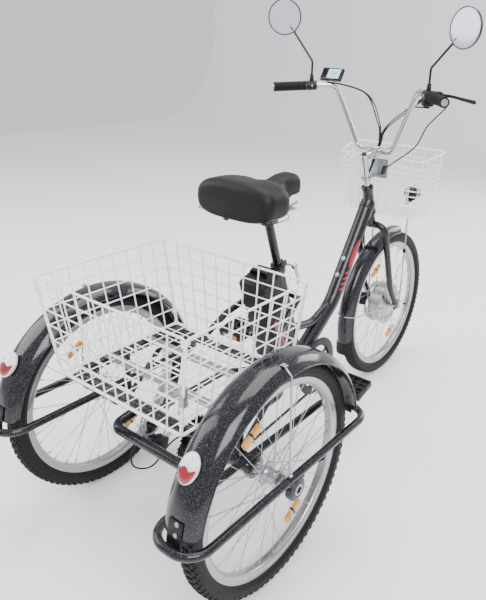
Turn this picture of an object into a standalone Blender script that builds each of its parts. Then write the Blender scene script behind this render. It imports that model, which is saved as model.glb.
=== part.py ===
"""Adult electric tricycle: two rear wheels under a wire basket, a hub motor in the front wheel.

Metres, +Z up, standing on z = 0. It faces -Y, the rider's left is +X, and the middle of its
length is at y = 0. One object is one piece. Each moving group hangs on an empty on its joint axis.
"""
import math

import bmesh
import bpy
from mathutils import Matrix, Vector

# ---- driving dimensions ------------------------------------------------------------------
WHEEL_RADIUS = 0.303          # 24 x 1.95 tyre on a 507 mm rim
TYRE_WIDTH = 0.049
WHEEL_STEPS = 24              # facets round a tyre and a rim
TYRE_WALL = 0.004
RIM_RADIUS = 0.262            # where the tyre bead ends
RIM_DEPTH = 0.022
RIM_WIDTH = 0.031
RIM_WALL = 0.003
WHEELBASE = 1.155
TRACK = 0.655                 # between the middles of the rear tyres
SPOKE_RADIUS = 0.0014
SPOKES_PER_SIDE = 18
HUB_FLANGE_RADIUS = 0.030
HUB_FLANGE_SPREAD = 0.022
HUB_HALF_LENGTH = 0.034
MOTOR_RADIUS = 0.080
MOTOR_HALF_WIDTH = 0.036
DISC_RADIUS = 0.080
DISC_THICKNESS = 0.002
AXLE_RADIUS = 0.0085
FRONT_AXLE_RADIUS = 0.006
AXLE_REACH = 0.400            # half length of the rear axle

HEAD_LEAN = math.radians(19.0)
FORK_RAKE = 0.0295
FORK_LENGTH = 0.453           # axle level to the foot of the head tube, along the steerer
HEAD_LENGTH = 0.115
HEAD_TUBE_RADIUS = 0.020
STEERER_RADIUS = 0.014
CROWN_DROP = 0.046            # crown below the head tube, clear of the main tube when steered
BLADE_SPREAD = 0.060
BLADE_RADIUS = 0.012

BB_AHEAD = 0.545              # crank axle ahead of the rear axle
BB_DROP = 0.013
BB_SHELL_RADIUS = 0.021
BB_SHELL_HALF = 0.034
SPINDLE_RADIUS = 0.0085
CRANK_LENGTH = 0.160
CRANK_DIP = math.radians(41.0)   # right crank below the horizontal, pointing forward
CRANK_PLANE = 0.096
CHAIN_LINE = -0.075
CHAINRING_TEETH = 44
COG_TEETH = (28, 24, 22, 20, 18, 16, 14)
CHAIN_COG = 3                 # which cog the chain runs on
COG_PITCH = 0.005
CHAIN_PITCH = 0.0127
CHAIN_HALF_HEIGHT = 0.0036
CHAIN_HALF_WIDTH = 0.0033
PULLEY_TEETH = 11
GUARD_DISC_RADIUS = 0.101
PEDAL_SIZE = (0.098, 0.088, 0.026)

MAIN_TUBE_RADIUS = 0.027
BRANCH_TUBE_RADIUS = 0.014
STAY_RADIUS = 0.010
SEAT_LEAN = math.radians(18.5)
SEAT_TUBE_LENGTH = 0.400
SEAT_TUBE_RADIUS = 0.0175
POST_RADIUS = 0.0136
POST_TOP = 0.555              # along the seat tube from the crank axle
POST_FOOT = 0.190
SADDLE_WIDTH = 0.270
SADDLE_LENGTH = 0.292
SADDLE_HEIGHT = 0.112
SADDLE_BACK = 0.024           # saddle's middle behind the post's top

BATTERY_SIZE = (0.104, 0.098, 0.355)   # depth, width, length along the seat tube
BATTERY_START = 0.078
DOCK_DEPTH = 0.014

GUARD_TUBE_RADIUS = 0.0105
GUARD_REACH = 0.345           # ahead of and behind the rear axle
GUARD_INNER_X = 0.262
GUARD_OUTER_X = 0.393
GUARD_RISE = 0.036            # rails above the axle
GUARD_CORNER = 0.055
BEARING_RADIUS = 0.032
BEARING_HALF = 0.0115
FENDER_RADIUS = 0.3305
FENDER_WIDTH = 0.105
FENDER_SHEET = 0.0016
FRONT_FENDER_RADIUS = 0.327
FRONT_FENDER_WIDTH = 0.060

HOUSING_RADIUS = 0.024
HOUSING_INNER_LEFT = 0.100
HOUSING_INNER_RIGHT = -0.105
CARRIAGE_TUBE_RADIUS = 0.0125
CARRIAGE_HALF_WIDTH = 0.215
CARRIAGE_FRONT = -0.190
CARRIAGE_REAR = 0.160
CARRIAGE_HEIGHT = 0.463
BAR_THICKNESS = 0.005
BAR_WIDTH = 0.030
BAR_PLACES = (-0.080, 0.060)
BUMPER_REACH = 0.100
BUMPER_HALF_WIDTH = 0.160

BASKET_BOTTOM_HALF = 0.220
BASKET_TOP_HALF = 0.266
BASKET_FRONT = -0.200
BASKET_REAR_BOTTOM = 0.200
BASKET_REAR_TOP = 0.222
BASKET_HEIGHT = 0.260
BASKET_SHEET = 0.004

FRONT_BASKET_DEPTH = 0.145
FRONT_BASKET_HEIGHT = 0.212
FRONT_BASKET_RISE = 0.026     # front rim above the rear rim
FRONT_BASKET_REAR_HALF = (0.147, 0.173)    # at the bottom and at the top
FRONT_BASKET_FRONT_HALF = (0.170, 0.196)
FRONT_BASKET_GAP = 0.083      # from the head tube's top to its rear wall
FRONT_BASKET_BOTTOM = 0.720

STEM_RISE = 0.121             # stem top above the head tube
STEM_REACH = 0.075
BAR_RADIUS = 0.0111
BAR_RISE = 0.218              # grips above the bar clamp
BAR_BEND_X = 0.165
BAR_HALF_WIDTH = 0.325
BAR_SWEEP = 0.155             # bar ends behind the bends
BAR_END_DROP = 0.015
GRIP_RADIUS = 0.0165
GRIP_LENGTH = 0.118
THROTTLE_SHARE = 0.050        # length of the twisting inner part of the right grip
POD_DROP = 0.0235             # shifter pod below the bar
MIRROR_RADIUS = 0.060
MIRROR_THICKNESS = 0.014
MIRROR_ARM_RADIUS = 0.004
MIRROR_STALK = {"left": (0.071, 0.103), "right": (0.083, 0.085)}   # out and up, beyond its bend

FIT_GAP = 0.0003              # between pieces that touch
RUN_GAP = 0.0005              # between pieces that turn in each other
ROUND_SIDES = 12
BORE_SIDES = 16

# ---- places worked out from them ----------------------------------------------------------
REAR_Y = (WHEELBASE + WHEEL_RADIUS - GUARD_REACH - GUARD_TUBE_RADIUS) / 2
REAR_AXLE = Vector((0, REAR_Y, WHEEL_RADIUS))
FRONT_AXLE = REAR_AXLE - Vector((0, WHEELBASE, 0))
BB = REAR_AXLE - Vector((0, BB_AHEAD, BB_DROP))
STEER_DIR = Vector((0, math.sin(HEAD_LEAN), math.cos(HEAD_LEAN)))
STEER_BACK = Vector((0, math.cos(HEAD_LEAN), -math.sin(HEAD_LEAN)))
STEER_FOOT = FRONT_AXLE + STEER_BACK * FORK_RAKE
SEAT_DIR = Vector((0, math.sin(SEAT_LEAN), math.cos(SEAT_LEAN)))
SEAT_BACK = Vector((0, math.cos(SEAT_LEAN), -math.sin(SEAT_LEAN)))
SIDES = (("left", 1), ("right", -1))
X_AXIS = Vector((1, 0, 0))
Y_AXIS = Vector((0, 1, 0))
Z_AXIS = Vector((0, 0, 1))


def steer(along, back=0.0, x=0.0):
    """Point at a distance up the steering axis, and behind it."""
    return STEER_FOOT + STEER_DIR * along + STEER_BACK * back + X_AXIS * x


def seat(along, back=0.0, x=0.0):
    """Point at a distance up the seat tube from the crank axle, and behind it."""
    return BB + SEAT_DIR * along + SEAT_BACK * back + X_AXIS * x


def behind(x, back, z):
    """Point behind the rear axle's line, at a height above the ground."""
    return Vector((x, REAR_Y + back, z))


def cog_radius(teeth):
    """Root circle of a sprocket, where the chain's rollers sit."""
    pitch_radius = CHAIN_PITCH / (2 * math.sin(math.pi / teeth))
    return pitch_radius - CHAIN_HALF_HEIGHT - FIT_GAP


def chain_radius(teeth):
    """Circle that the middle of the chain follows round a sprocket."""
    return CHAIN_PITCH / (2 * math.sin(math.pi / teeth))


HEAD_TOP = FORK_LENGTH + HEAD_LENGTH
BAR_CENTRE = steer(HEAD_TOP + STEM_RISE) + Vector((0, -STEM_REACH, 0.012))
BAR_BEND = BAR_CENTRE + Vector((BAR_BEND_X, 0.034, BAR_RISE))
BAR_END = BAR_CENTRE + Vector((BAR_HALF_WIDTH, 0.034 + BAR_SWEEP, BAR_RISE - BAR_END_DROP))
GRIP_DIR = (BAR_END - BAR_BEND).normalized()

BAR_TOP = CARRIAGE_HEIGHT + CARRIAGE_TUBE_RADIUS + BAR_THICKNESS - 0.002

# ---- scene ----------------------------------------------------------------------------------
for old in list(bpy.data.objects):
    bpy.data.objects.remove(old, do_unlink=True)
MODEL = bpy.data.collections.new("adult_tricycle")
TOOLS = bpy.data.collections.new("tools")
bpy.context.scene.collection.children.link(MODEL)
bpy.context.scene.collection.children.link(TOOLS)

FINISHES = {
    "black_paint": ((0.012, 0.012, 0.015), 0.28, 0.4),
    "black_plastic": ((0.02, 0.02, 0.022), 0.5, 0.0),
    "chrome": ((0.8, 0.8, 0.82), 0.12, 1.0),
    "silver": ((0.62, 0.63, 0.65), 0.35, 0.9),
    "rubber": ((0.025, 0.025, 0.026), 0.75, 0.0),
    "white_wire": ((0.85, 0.86, 0.87), 0.35, 0.0),
    "red_lens": ((0.45, 0.01, 0.02), 0.2, 0.0),
    "saddle_skin": ((0.02, 0.02, 0.022), 0.55, 0.0),
    "steel": ((0.4, 0.4, 0.41), 0.4, 0.9),
    "mirror": ((0.75, 0.77, 0.82), 0.05, 1.0),
}


def finish(name):
    """Principled material of a named finish."""
    found = bpy.data.materials.get(name)
    if found:
        return found
    colour, roughness, metallic = FINISHES[name]
    made = bpy.data.materials.new(name)
    made.use_nodes = True
    shader = made.node_tree.nodes["Principled BSDF"]
    shader.inputs["Base Color"].default_value = (*colour, 1)
    shader.inputs["Roughness"].default_value = roughness
    shader.inputs["Metallic"].default_value = metallic
    return made


def place(obj, look, matrix):
    """Put an object in the model, or among the tools where it has no look."""
    obj.matrix_basis = matrix
    if look is None:
        TOOLS.objects.link(obj)
        obj.hide_render = True
        obj.display_type = "WIRE"
        return obj
    MODEL.objects.link(obj)
    obj.data.materials.append(finish(look))
    return obj


def from_bmesh(name, look, bm, matrix=Matrix(), smooth=True):
    """Object made from a bmesh, smooth on its rounds."""
    mesh = bpy.data.meshes.new(name)
    bm.to_mesh(mesh)
    bm.free()
    if smooth:
        mesh.shade_smooth()
        mesh.set_sharp_from_angle(angle=math.radians(35))
    return place(bpy.data.objects.new(name, mesh), look, matrix)


def facing(direction, origin, up=Z_AXIS):
    """Matrix whose Z points along direction, with X square to up."""
    z = direction.normalized()
    side = up.cross(z)
    x = side.normalized() if side.length > 1e-6 else X_AXIS
    y = z.cross(x)
    return Matrix.Translation(origin) @ Matrix((x, y, z)).transposed().to_4x4()


def box(name, look, size, centre, turn=Matrix(), round_edge=0.0):
    """Block, with rounded edges where asked."""
    bm = bmesh.new()
    bmesh.ops.create_cube(bm, size=1.0)
    bmesh.ops.scale(bm, vec=Vector(size), verts=bm.verts)
    made = from_bmesh(name, look, bm, Matrix.Translation(centre) @ turn)
    if round_edge:
        bevel = made.modifiers.new("round", "BEVEL")
        bevel.width = round_edge
        bevel.segments = 2
    return made


def rod(name, look, start, end, radius, end_radius=None, sides=ROUND_SIDES):
    """Straight round bar between two points."""
    bm = bmesh.new()
    bmesh.ops.create_cone(
        bm,
        cap_ends=True,
        segments=sides,
        radius1=radius,
        radius2=radius if end_radius is None else end_radius,
        depth=(end - start).length,
    )
    return from_bmesh(name, look, bm, facing(end - start, (start + end) / 2))


def turned(name, look, profile, centre, axis, steps=32, half_step=False):
    """Turned piece: a profile of (radius, height) that runs down its outer side."""
    closed = min(radius for radius, _ in profile) > 0
    bm = bmesh.new()
    points = [bm.verts.new((radius, 0, height)) for radius, height in profile]
    for first, second in zip(points, points[1:]):
        bm.edges.new((first, second))
    if closed:
        bm.edges.new((points[-1], points[0]))
    turn = Matrix.Rotation(math.pi / steps if half_step else 0, 4, "Z")
    made = from_bmesh(name, look, bm, facing(axis, centre) @ turn, smooth=False)
    screw = made.modifiers.new("turn", "SCREW")
    screw.axis = "Z"
    screw.angle = 2 * math.pi
    screw.steps = steps
    screw.render_steps = steps
    screw.use_merge_vertices = True
    screw.merge_threshold = 0.00001
    screw.use_smooth_shade = True
    return made


def curve_tube(name, look, points, radius, resolution=2, cyclic=False):
    """Round tube along points, as a curve with filled caps."""
    curve = bpy.data.curves.new(name, "CURVE")
    curve.dimensions = "3D"
    curve.bevel_depth = radius
    curve.bevel_resolution = resolution
    curve.use_fill_caps = True
    spline = curve.splines.new("POLY")
    spline.points.add(len(points) - 1)
    for knot, point in zip(spline.points, points):
        knot.co = (*point, 1)
    spline.use_cyclic_u = cyclic
    spline.use_smooth = True
    return place(bpy.data.objects.new(name, curve), look, Matrix())


def mesh_tube(name, look, points, radius, resolution=2, cyclic=False):
    """The same tube as a welded mesh, so that it can be joined or cut."""
    curve = curve_tube(name + "_path", None, points, radius, resolution, cyclic)
    bpy.context.view_layer.update()
    graph = bpy.context.evaluated_depsgraph_get()
    mesh = bpy.data.meshes.new_from_object(curve.evaluated_get(graph))
    bpy.data.objects.remove(curve, do_unlink=True)
    bm = bmesh.new()
    bm.from_mesh(mesh)
    bmesh.ops.remove_doubles(bm, verts=bm.verts, dist=0.00001)
    return from_bmesh(name, look, bm)


def rounded_path(corners, radius, steps=4, cyclic=False):
    """Corner points with each inner corner replaced by an arc."""
    count = len(corners)
    path = []
    for index, corner in enumerate(corners):
        if not cyclic and index in (0, count - 1):
            path.append(corner)
            continue
        back = (corners[index - 1] - corner).normalized()
        ahead = (corners[(index + 1) % count] - corner).normalized()
        half = back.angle(ahead) / 2
        cut_back = radius / math.tan(half)
        centre = corner + (back + ahead).normalized() * (radius / math.sin(half))
        start = (corner + back * cut_back - centre).normalized()
        end = (corner + ahead * cut_back - centre).normalized()
        for step in range(steps + 1):
            path.append(centre + start.slerp(end, step / steps) * radius)
    return path


def smooth_path(points, per_span=4):
    """Points on a smooth curve through the given ones."""
    path = []
    last = len(points) - 1
    for index in range(last):
        p0 = points[max(index - 1, 0)]
        p1 = points[index]
        p2 = points[index + 1]
        p3 = points[min(index + 2, last)]
        for step in range(per_span):
            t = step / per_span
            spread = (p2 - p0) * t + (2 * p0 - 5 * p1 + 4 * p2 - p3) * t ** 2
            spread += (3 * p1 - p0 - 3 * p2 + p3) * t ** 3
            path.append(p1 + spread / 2)
    path.append(points[-1])
    return path


def combine(target, operation, tools):
    """Boolean of the tools on the target, one after another."""
    for tool in tools:
        step = target.modifiers.new(operation.lower(), "BOOLEAN")
        step.operation = operation
        step.solver = "EXACT"
        step.object = tool
    return target


def join(target, *tools):
    return combine(target, "UNION", tools)


def cut(target, *tools):
    return combine(target, "DIFFERENCE", tools)


def pivot(name, location, parent=None):
    """Empty on a joint's axis, which carries the pieces of its group."""
    empty = bpy.data.objects.new(name, None)
    empty.location = location
    MODEL.objects.link(empty)
    if parent:
        carry(parent, empty)
    return empty


def carry(parent, *pieces):
    """Hang pieces on an empty without moving them."""
    for piece in pieces:
        piece.parent = parent
        piece.matrix_parent_inverse = Matrix.Translation(-parent.location)


# ---- wheels -----------------------------------------------------------------------------------
def tyre(name, centre):
    """Hollow tyre, open towards the rim, with a flat under its lowest point."""
    half = TYRE_WIDTH / 2
    outside = [
        (WHEEL_RADIUS, 0.011),
        (WHEEL_RADIUS - 0.014, half),
        (RIM_RADIUS + FIT_GAP, RIM_WIDTH / 2 + TYRE_WALL / 2),
    ]
    inside = [
        (RIM_RADIUS + FIT_GAP, RIM_WIDTH / 2 - TYRE_WALL / 2),
        (WHEEL_RADIUS - TYRE_WALL - 0.002, half - TYRE_WALL - 0.003),
    ]
    stretch = 1 / math.cos(math.pi / WHEEL_STEPS)
    lower = outside + inside
    upper = [(radius, -height) for radius, height in lower]
    profile = [(radius * stretch, -height) for radius, height in list(reversed(upper)) + lower]
    return turned(name, "rubber", profile, centre, X_AXIS, WHEEL_STEPS, half_step=True)


def rim_profile():
    """U-shaped rim, open outwards."""
    half = RIM_WIDTH / 2
    floor = RIM_RADIUS - RIM_DEPTH
    stretch = 1 / math.cos(math.pi / WHEEL_STEPS)
    profile = [
        (RIM_RADIUS, half),
        (RIM_RADIUS, half - RIM_WALL),
        (floor + RIM_WALL, half - 2 * RIM_WALL),
        (floor + RIM_WALL, 2 * RIM_WALL - half),
        (RIM_RADIUS, RIM_WALL - half),
        (RIM_RADIUS, -half),
        (floor, RIM_WALL * 1.5 - half),
        (floor, half - RIM_WALL * 1.5),
    ]
    return [(radius * stretch, height) for radius, height in profile]


def spokes(name, centre, flange_radius, flange_spread, lean):
    """Two sets of crossed spokes from the hub's flanges to the floor of the rim."""
    bm = bmesh.new()
    rim_floor = RIM_RADIUS - RIM_DEPTH + RIM_WALL / 2
    for side in (1, -1):
        for index in range(SPOKES_PER_SIDE):
            crossing = 1 if index % 2 else -1
            foot_angle = 2 * math.pi * (index + (0.25 if side > 0 else 0.75)) / SPOKES_PER_SIDE
            tip_angle = foot_angle + crossing * lean
            foot_x = side * (flange_spread + crossing * 0.0022)
            foot = radial(foot_angle, flange_radius - 0.003, foot_x)
            tip = radial(tip_angle, rim_floor, side * (0.004 + crossing * 0.0014))
            bmesh.ops.create_cone(
                bm,
                cap_ends=True,
                segments=3,
                radius1=SPOKE_RADIUS,
                radius2=SPOKE_RADIUS,
                depth=(tip - foot).length,
                matrix=Matrix.Translation(centre) @ facing(tip - foot, (foot + tip) / 2, X_AXIS),
            )
    return from_bmesh(name, None, bm, smooth=False)


def radial(angle, radius, x):
    """Point on a circle about the X axis."""
    return Vector((x, radius * math.cos(angle), radius * math.sin(angle)))


def laced_wheel(name, centre, hub_profile, flange_radius, flange_spread, lean):
    """Rim, spokes and hub, laced into one wheel."""
    rim = turned(name, "silver", rim_profile(), centre, X_AXIS, WHEEL_STEPS, half_step=True)
    hub = turned(name + "_hub", None, hub_profile, centre, X_AXIS, 14)
    return join(rim, spokes(name + "_spokes", centre, flange_radius, flange_spread, lean), hub)


def rear_hub_profile(bore):
    spread = HUB_FLANGE_SPREAD
    flange = HUB_FLANGE_RADIUS
    return [
        (bore, HUB_HALF_LENGTH),
        (0.016, HUB_HALF_LENGTH),
        (flange, spread + 0.004),
        (flange, spread - 0.004),
        (0.017, spread - 0.010),
        (0.017, 0.010 - spread),
        (flange, 0.004 - spread),
        (flange, -0.004 - spread),
        (0.016, -HUB_HALF_LENGTH),
        (bore, -HUB_HALF_LENGTH),
    ]


def motor_profile(bore):
    """Hub motor with a spoke flange on each side and a brake disc on the left."""
    wide = MOTOR_HALF_WIDTH
    disc = wide + 0.0085
    return [
        (bore, disc + DISC_THICKNESS + 0.001),
        (0.022, disc + DISC_THICKNESS + 0.001),
        (0.022, disc + DISC_THICKNESS),
        (DISC_RADIUS, disc + DISC_THICKNESS),
        (DISC_RADIUS, disc),
        (0.030, disc),
        (0.040, wide + 0.005),
        (MOTOR_RADIUS - 0.006, wide),
        (MOTOR_RADIUS - 0.002, wide - 0.010),
        (MOTOR_RADIUS + 0.006, wide - 0.010),
        (MOTOR_RADIUS + 0.006, wide - 0.018),
        (MOTOR_RADIUS, wide - 0.018),
        (MOTOR_RADIUS, 0.018 - wide),
        (MOTOR_RADIUS + 0.006, 0.018 - wide),
        (MOTOR_RADIUS + 0.006, 0.010 - wide),
        (MOTOR_RADIUS - 0.002, 0.010 - wide),
        (MOTOR_RADIUS - 0.006, -wide),
        (0.047, -0.004 - wide),
        (0.045, -0.009 - wide),
        (bore, -0.009 - wide),
    ]


def wheels(steering):
    front = pivot("front_wheel_axis", FRONT_AXLE, steering)
    bore = FRONT_AXLE_RADIUS + RUN_GAP
    hub = motor_profile(bore)
    lacing = (MOTOR_RADIUS + 0.006, MOTOR_HALF_WIDTH - 0.014, math.radians(24))
    carry(front, tyre("front_tyre", FRONT_AXLE))
    carry(front, laced_wheel("front_wheel", FRONT_AXLE, hub, *lacing))
    lacing = (HUB_FLANGE_RADIUS, HUB_FLANGE_SPREAD, math.radians(64))
    rear = pivot("rear_axle_axis", REAR_AXLE)
    free = pivot("left_wheel_axis", REAR_AXLE)
    for side, sign in SIDES:
        centre = REAR_AXLE + X_AXIS * sign * TRACK / 2
        holder = free if side == "left" else rear
        bore = AXLE_RADIUS + (RUN_GAP if side == "left" else FIT_GAP)
        carry(holder, tyre(side + "_tyre", centre))
        carry(holder, laced_wheel(side + "_wheel", centre, rear_hub_profile(bore), *lacing))
    carry(rear, axle_shaft())


def axle_shaft():
    """Shaft with the rear brake disc, the freewheel's seat and a cap on its right end."""
    disc = 0.072
    profile = [
        (0, AXLE_REACH),
        (AXLE_RADIUS, AXLE_REACH),
        (AXLE_RADIUS, disc + 0.014),
        (0.020, disc + 0.014),
        (0.020, disc + DISC_THICKNESS),
        (DISC_RADIUS, disc + DISC_THICKNESS),
        (DISC_RADIUS, disc),
        (0.020, disc),
        (AXLE_RADIUS + 0.006, disc - 0.020),
        (AXLE_RADIUS + 0.006, -0.048),
        (AXLE_RADIUS + 0.004, -0.048),
        (AXLE_RADIUS + 0.004, -0.095),
        (AXLE_RADIUS, -0.095),
        (AXLE_RADIUS, -AXLE_REACH),
        (0, -AXLE_REACH),
    ]
    return turned("axle_shaft", "steel", profile, REAR_AXLE, X_AXIS, 18)


# ---- frame ------------------------------------------------------------------------------------
def main_frame():
    """Step-through frame: head tube, main tube, branch tube, seat tube, shell and stays."""
    step_corner = BB + Vector((0, -0.200, 0.147))
    head_joint = steer(FORK_LENGTH + 0.45 * HEAD_LENGTH, 0.002)
    main_path = rounded_path([head_joint, step_corner, BB + Vector((0, -0.004, 0.003))], 0.160, 4)
    frame = mesh_tube("main_frame", "black_paint", main_path, MAIN_TUBE_RADIUS, 3)
    branch = smooth_path([
        BB + Vector((0, -0.190, 0.146)),
        BB + Vector((0, -0.129, 0.128)),
        BB + Vector((0, -0.070, 0.112)),
        seat(0.140, 0.002),
    ], 3)
    tools = [
        rod("head_tube", None, steer(FORK_LENGTH), steer(HEAD_TOP), HEAD_TUBE_RADIUS),
        mesh_tube("branch_tube", None, branch, BRANCH_TUBE_RADIUS, 2),
        rod("seat_tube", None, seat(0.004), seat(SEAT_TUBE_LENGTH), SEAT_TUBE_RADIUS),
        rod("shell", None, BB - X_AXIS * BB_SHELL_HALF, BB + X_AXIS * BB_SHELL_HALF, BB_SHELL_RADIUS),
    ]
    housing_front = HOUSING_RADIUS + FIT_GAP
    for side, sign in SIDES:
        stay_x = sign * 0.112
        lower = rounded_path([
            BB + Vector((sign * 0.022, 0.004, 0.001)),
            BB + Vector((sign * 0.036, 0.120, 0.003)),
            behind(stay_x, -0.300, WHEEL_RADIUS),
            behind(stay_x, -housing_front, WHEEL_RADIUS),
        ], 0.060, 3)
        upper = rounded_path([
            seat(0.300, 0.002, sign * 0.006),
            seat(0.297, 0.010, sign * 0.070),
            behind(sign * 0.105, CARRIAGE_FRONT - 0.110, CARRIAGE_HEIGHT + 0.050),
            behind(sign * 0.115, CARRIAGE_FRONT - 0.030, CARRIAGE_HEIGHT),
            behind(sign * 0.115, CARRIAGE_FRONT - CARRIAGE_TUBE_RADIUS - FIT_GAP, CARRIAGE_HEIGHT),
        ], 0.014, 3)
        tools.append(mesh_tube("lower_stay_" + side, None, lower, STAY_RADIUS, 2))
        tools.append(mesh_tube("upper_stay_" + side, None, upper, STAY_RADIUS, 2))
    join(frame, *tools)
    return cut(
        frame,
        rod("head_bore", None, steer(FORK_LENGTH - 0.02), steer(HEAD_TOP + 0.02), STEERER_RADIUS + RUN_GAP,
            sides=BORE_SIDES),
        rod("seat_bore", None, seat(0.090), seat(SEAT_TUBE_LENGTH + 0.02), POST_RADIUS + FIT_GAP),
        rod("shell_bore", None, BB - X_AXIS * 0.05, BB + X_AXIS * 0.05, SPINDLE_RADIUS + RUN_GAP, sides=BORE_SIDES),
    )


def rear_carriage():
    """Welded rear carriage: axle housings, posts, upper rectangle, flat bars and bumper."""
    rail = GUARD_INNER_X - BEARING_HALF - FIT_GAP
    corners = [
        behind(CARRIAGE_HALF_WIDTH, CARRIAGE_REAR, CARRIAGE_HEIGHT),
        behind(-CARRIAGE_HALF_WIDTH, CARRIAGE_REAR, CARRIAGE_HEIGHT),
        behind(-CARRIAGE_HALF_WIDTH, CARRIAGE_FRONT, CARRIAGE_HEIGHT),
        behind(CARRIAGE_HALF_WIDTH, CARRIAGE_FRONT, CARRIAGE_HEIGHT),
    ]
    loop = rounded_path(corners, 0.030, 3, cyclic=True)
    carriage = mesh_tube("rear_carriage", "black_paint", loop, CARRIAGE_TUBE_RADIUS, 2, cyclic=True)
    bumper = rounded_path([
        behind(BUMPER_HALF_WIDTH, 0, WHEEL_RADIUS),
        behind(BUMPER_HALF_WIDTH, BUMPER_REACH, WHEEL_RADIUS - 0.013),
        behind(-BUMPER_HALF_WIDTH, BUMPER_REACH, WHEEL_RADIUS - 0.013),
        behind(-BUMPER_HALF_WIDTH, 0, WHEEL_RADIUS),
    ], 0.030, 4)
    tools = [mesh_tube("bumper", None, bumper, 0.014, 3)]
    for inner, outer in ((HOUSING_INNER_LEFT, rail), (HOUSING_INNER_RIGHT, -rail)):
        tools.append(rod("housing", None, behind(inner, 0, WHEEL_RADIUS),
                         behind(outer, 0, WHEEL_RADIUS), HOUSING_RADIUS))
    for sign in (1, -1):
        foot = behind(sign * CARRIAGE_HALF_WIDTH, 0, WHEEL_RADIUS)
        head = behind(sign * CARRIAGE_HALF_WIDTH, 0, CARRIAGE_HEIGHT)
        tools.append(rod("post", None, foot, head, 0.0115))
        brace = behind(sign * CARRIAGE_HALF_WIDTH, CARRIAGE_FRONT + 0.020, CARRIAGE_HEIGHT)
        tools.append(rod("brace", None, foot + Z_AXIS * 0.012, brace, 0.008, sides=10))
    bar_middle = BAR_TOP - BAR_THICKNESS / 2
    for back in BAR_PLACES:
        tools.append(box("flat_bar", None, (2 * CARRIAGE_HALF_WIDTH + 0.020, BAR_WIDTH, BAR_THICKNESS),
                         behind(0, back, bar_middle)))
    join(carriage, *tools)
    bore = AXLE_RADIUS + RUN_GAP
    return cut(carriage, rod("axle_bore", None, behind(-0.3, 0, WHEEL_RADIUS),
                             behind(0.3, 0, WHEEL_RADIUS), bore, sides=BORE_SIDES))


def wheel_guard(side, sign):
    """Tube loop round a rear wheel, with a bearing block under each rail."""
    rail_z = WHEEL_RADIUS + GUARD_RISE
    corners = [
        behind(sign * GUARD_OUTER_X, GUARD_REACH, rail_z),
        behind(sign * GUARD_INNER_X, GUARD_REACH, rail_z),
        behind(sign * GUARD_INNER_X, -GUARD_REACH, rail_z),
        behind(sign * GUARD_OUTER_X, -GUARD_REACH, rail_z),
    ]
    path = rounded_path(corners, GUARD_CORNER, 4, cyclic=True)
    guard = mesh_tube("wheel_guard_" + side, "black_paint", path, GUARD_TUBE_RADIUS, 2, cyclic=True)
    for x in (GUARD_INNER_X, GUARD_OUTER_X):
        reach = X_AXIS * BEARING_HALF
        middle = REAR_AXLE + X_AXIS * sign * x
        join(guard, rod("bearing", None, middle - reach, middle + reach, BEARING_RADIUS))
    reach = X_AXIS * (AXLE_REACH + 0.05)
    return cut(guard, rod("bearing_bore", None, REAR_AXLE - reach, REAR_AXLE + reach,
                          AXLE_RADIUS + RUN_GAP, sides=BORE_SIDES))


def arc_shell(name, centre, radius, width, start, sweep, steps):
    """Curved mudguard: a crowned section spun about the axle and given its sheet thickness."""
    half = width / 2
    section = ((-half, -0.024), (-0.82 * half, -0.009), (-0.45 * half, -0.001), (0, 0))
    section += tuple((-x, drop) for x, drop in reversed(section[:3]))
    bm = bmesh.new()
    points = [bm.verts.new(radial(start, radius + drop, x)) for x, drop in section]
    edges = [bm.edges.new(pair) for pair in zip(points, points[1:])]
    bmesh.ops.spin(bm, geom=points + edges, cent=(0, 0, 0), axis=X_AXIS, angle=sweep, steps=steps)
    bmesh.ops.recalc_face_normals(bm, faces=bm.faces)
    made = from_bmesh(name, "black_paint", bm, Matrix.Translation(centre))
    sheet = made.modifiers.new("sheet", "SOLIDIFY")
    sheet.thickness = FENDER_SHEET
    sheet.offset = 0
    return made


def rear_fender(side, sign):
    centre = REAR_AXLE + X_AXIS * sign * TRACK / 2
    return arc_shell("rear_fender_" + side, centre, FENDER_RADIUS, FENDER_WIDTH,
                     math.radians(9.5), math.radians(160.5), 15)


def tail_lamp(side, sign):
    """Egg-shaped lamp housing on the fender."""
    angle = math.radians(35)
    stand = FENDER_RADIUS + FENDER_SHEET + 0.0135
    centre = REAR_AXLE + radial(angle, stand, sign * TRACK / 2)
    outward = radial(angle, 1, 0)
    profile = [(0, 0.013), (0.018, 0.011), (0.028, 0.004), (0.030, -0.004), (0.024, -0.012), (0, -0.012)]
    lamp = turned("tail_lamp_" + side, "red_lens", profile, centre, outward, 20)
    lamp.matrix_basis = facing(outward, centre, X_AXIS) @ Matrix.Diagonal((1.14, 0.82, 1.0, 1.0))
    return lamp


# ---- rear basket --------------------------------------------------------------------------------
def panel(name, corners, thickness=BASKET_SHEET, look="white_wire"):
    """Flat panel through four corners, thickened to both sides."""
    bm = bmesh.new()
    bm.faces.new([bm.verts.new(corner) for corner in corners])
    made = from_bmesh(name, look, bm, smooth=False)
    sheet = made.modifiers.new("sheet", "SOLIDIFY")
    sheet.thickness = thickness
    sheet.offset = 0
    return made


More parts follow.
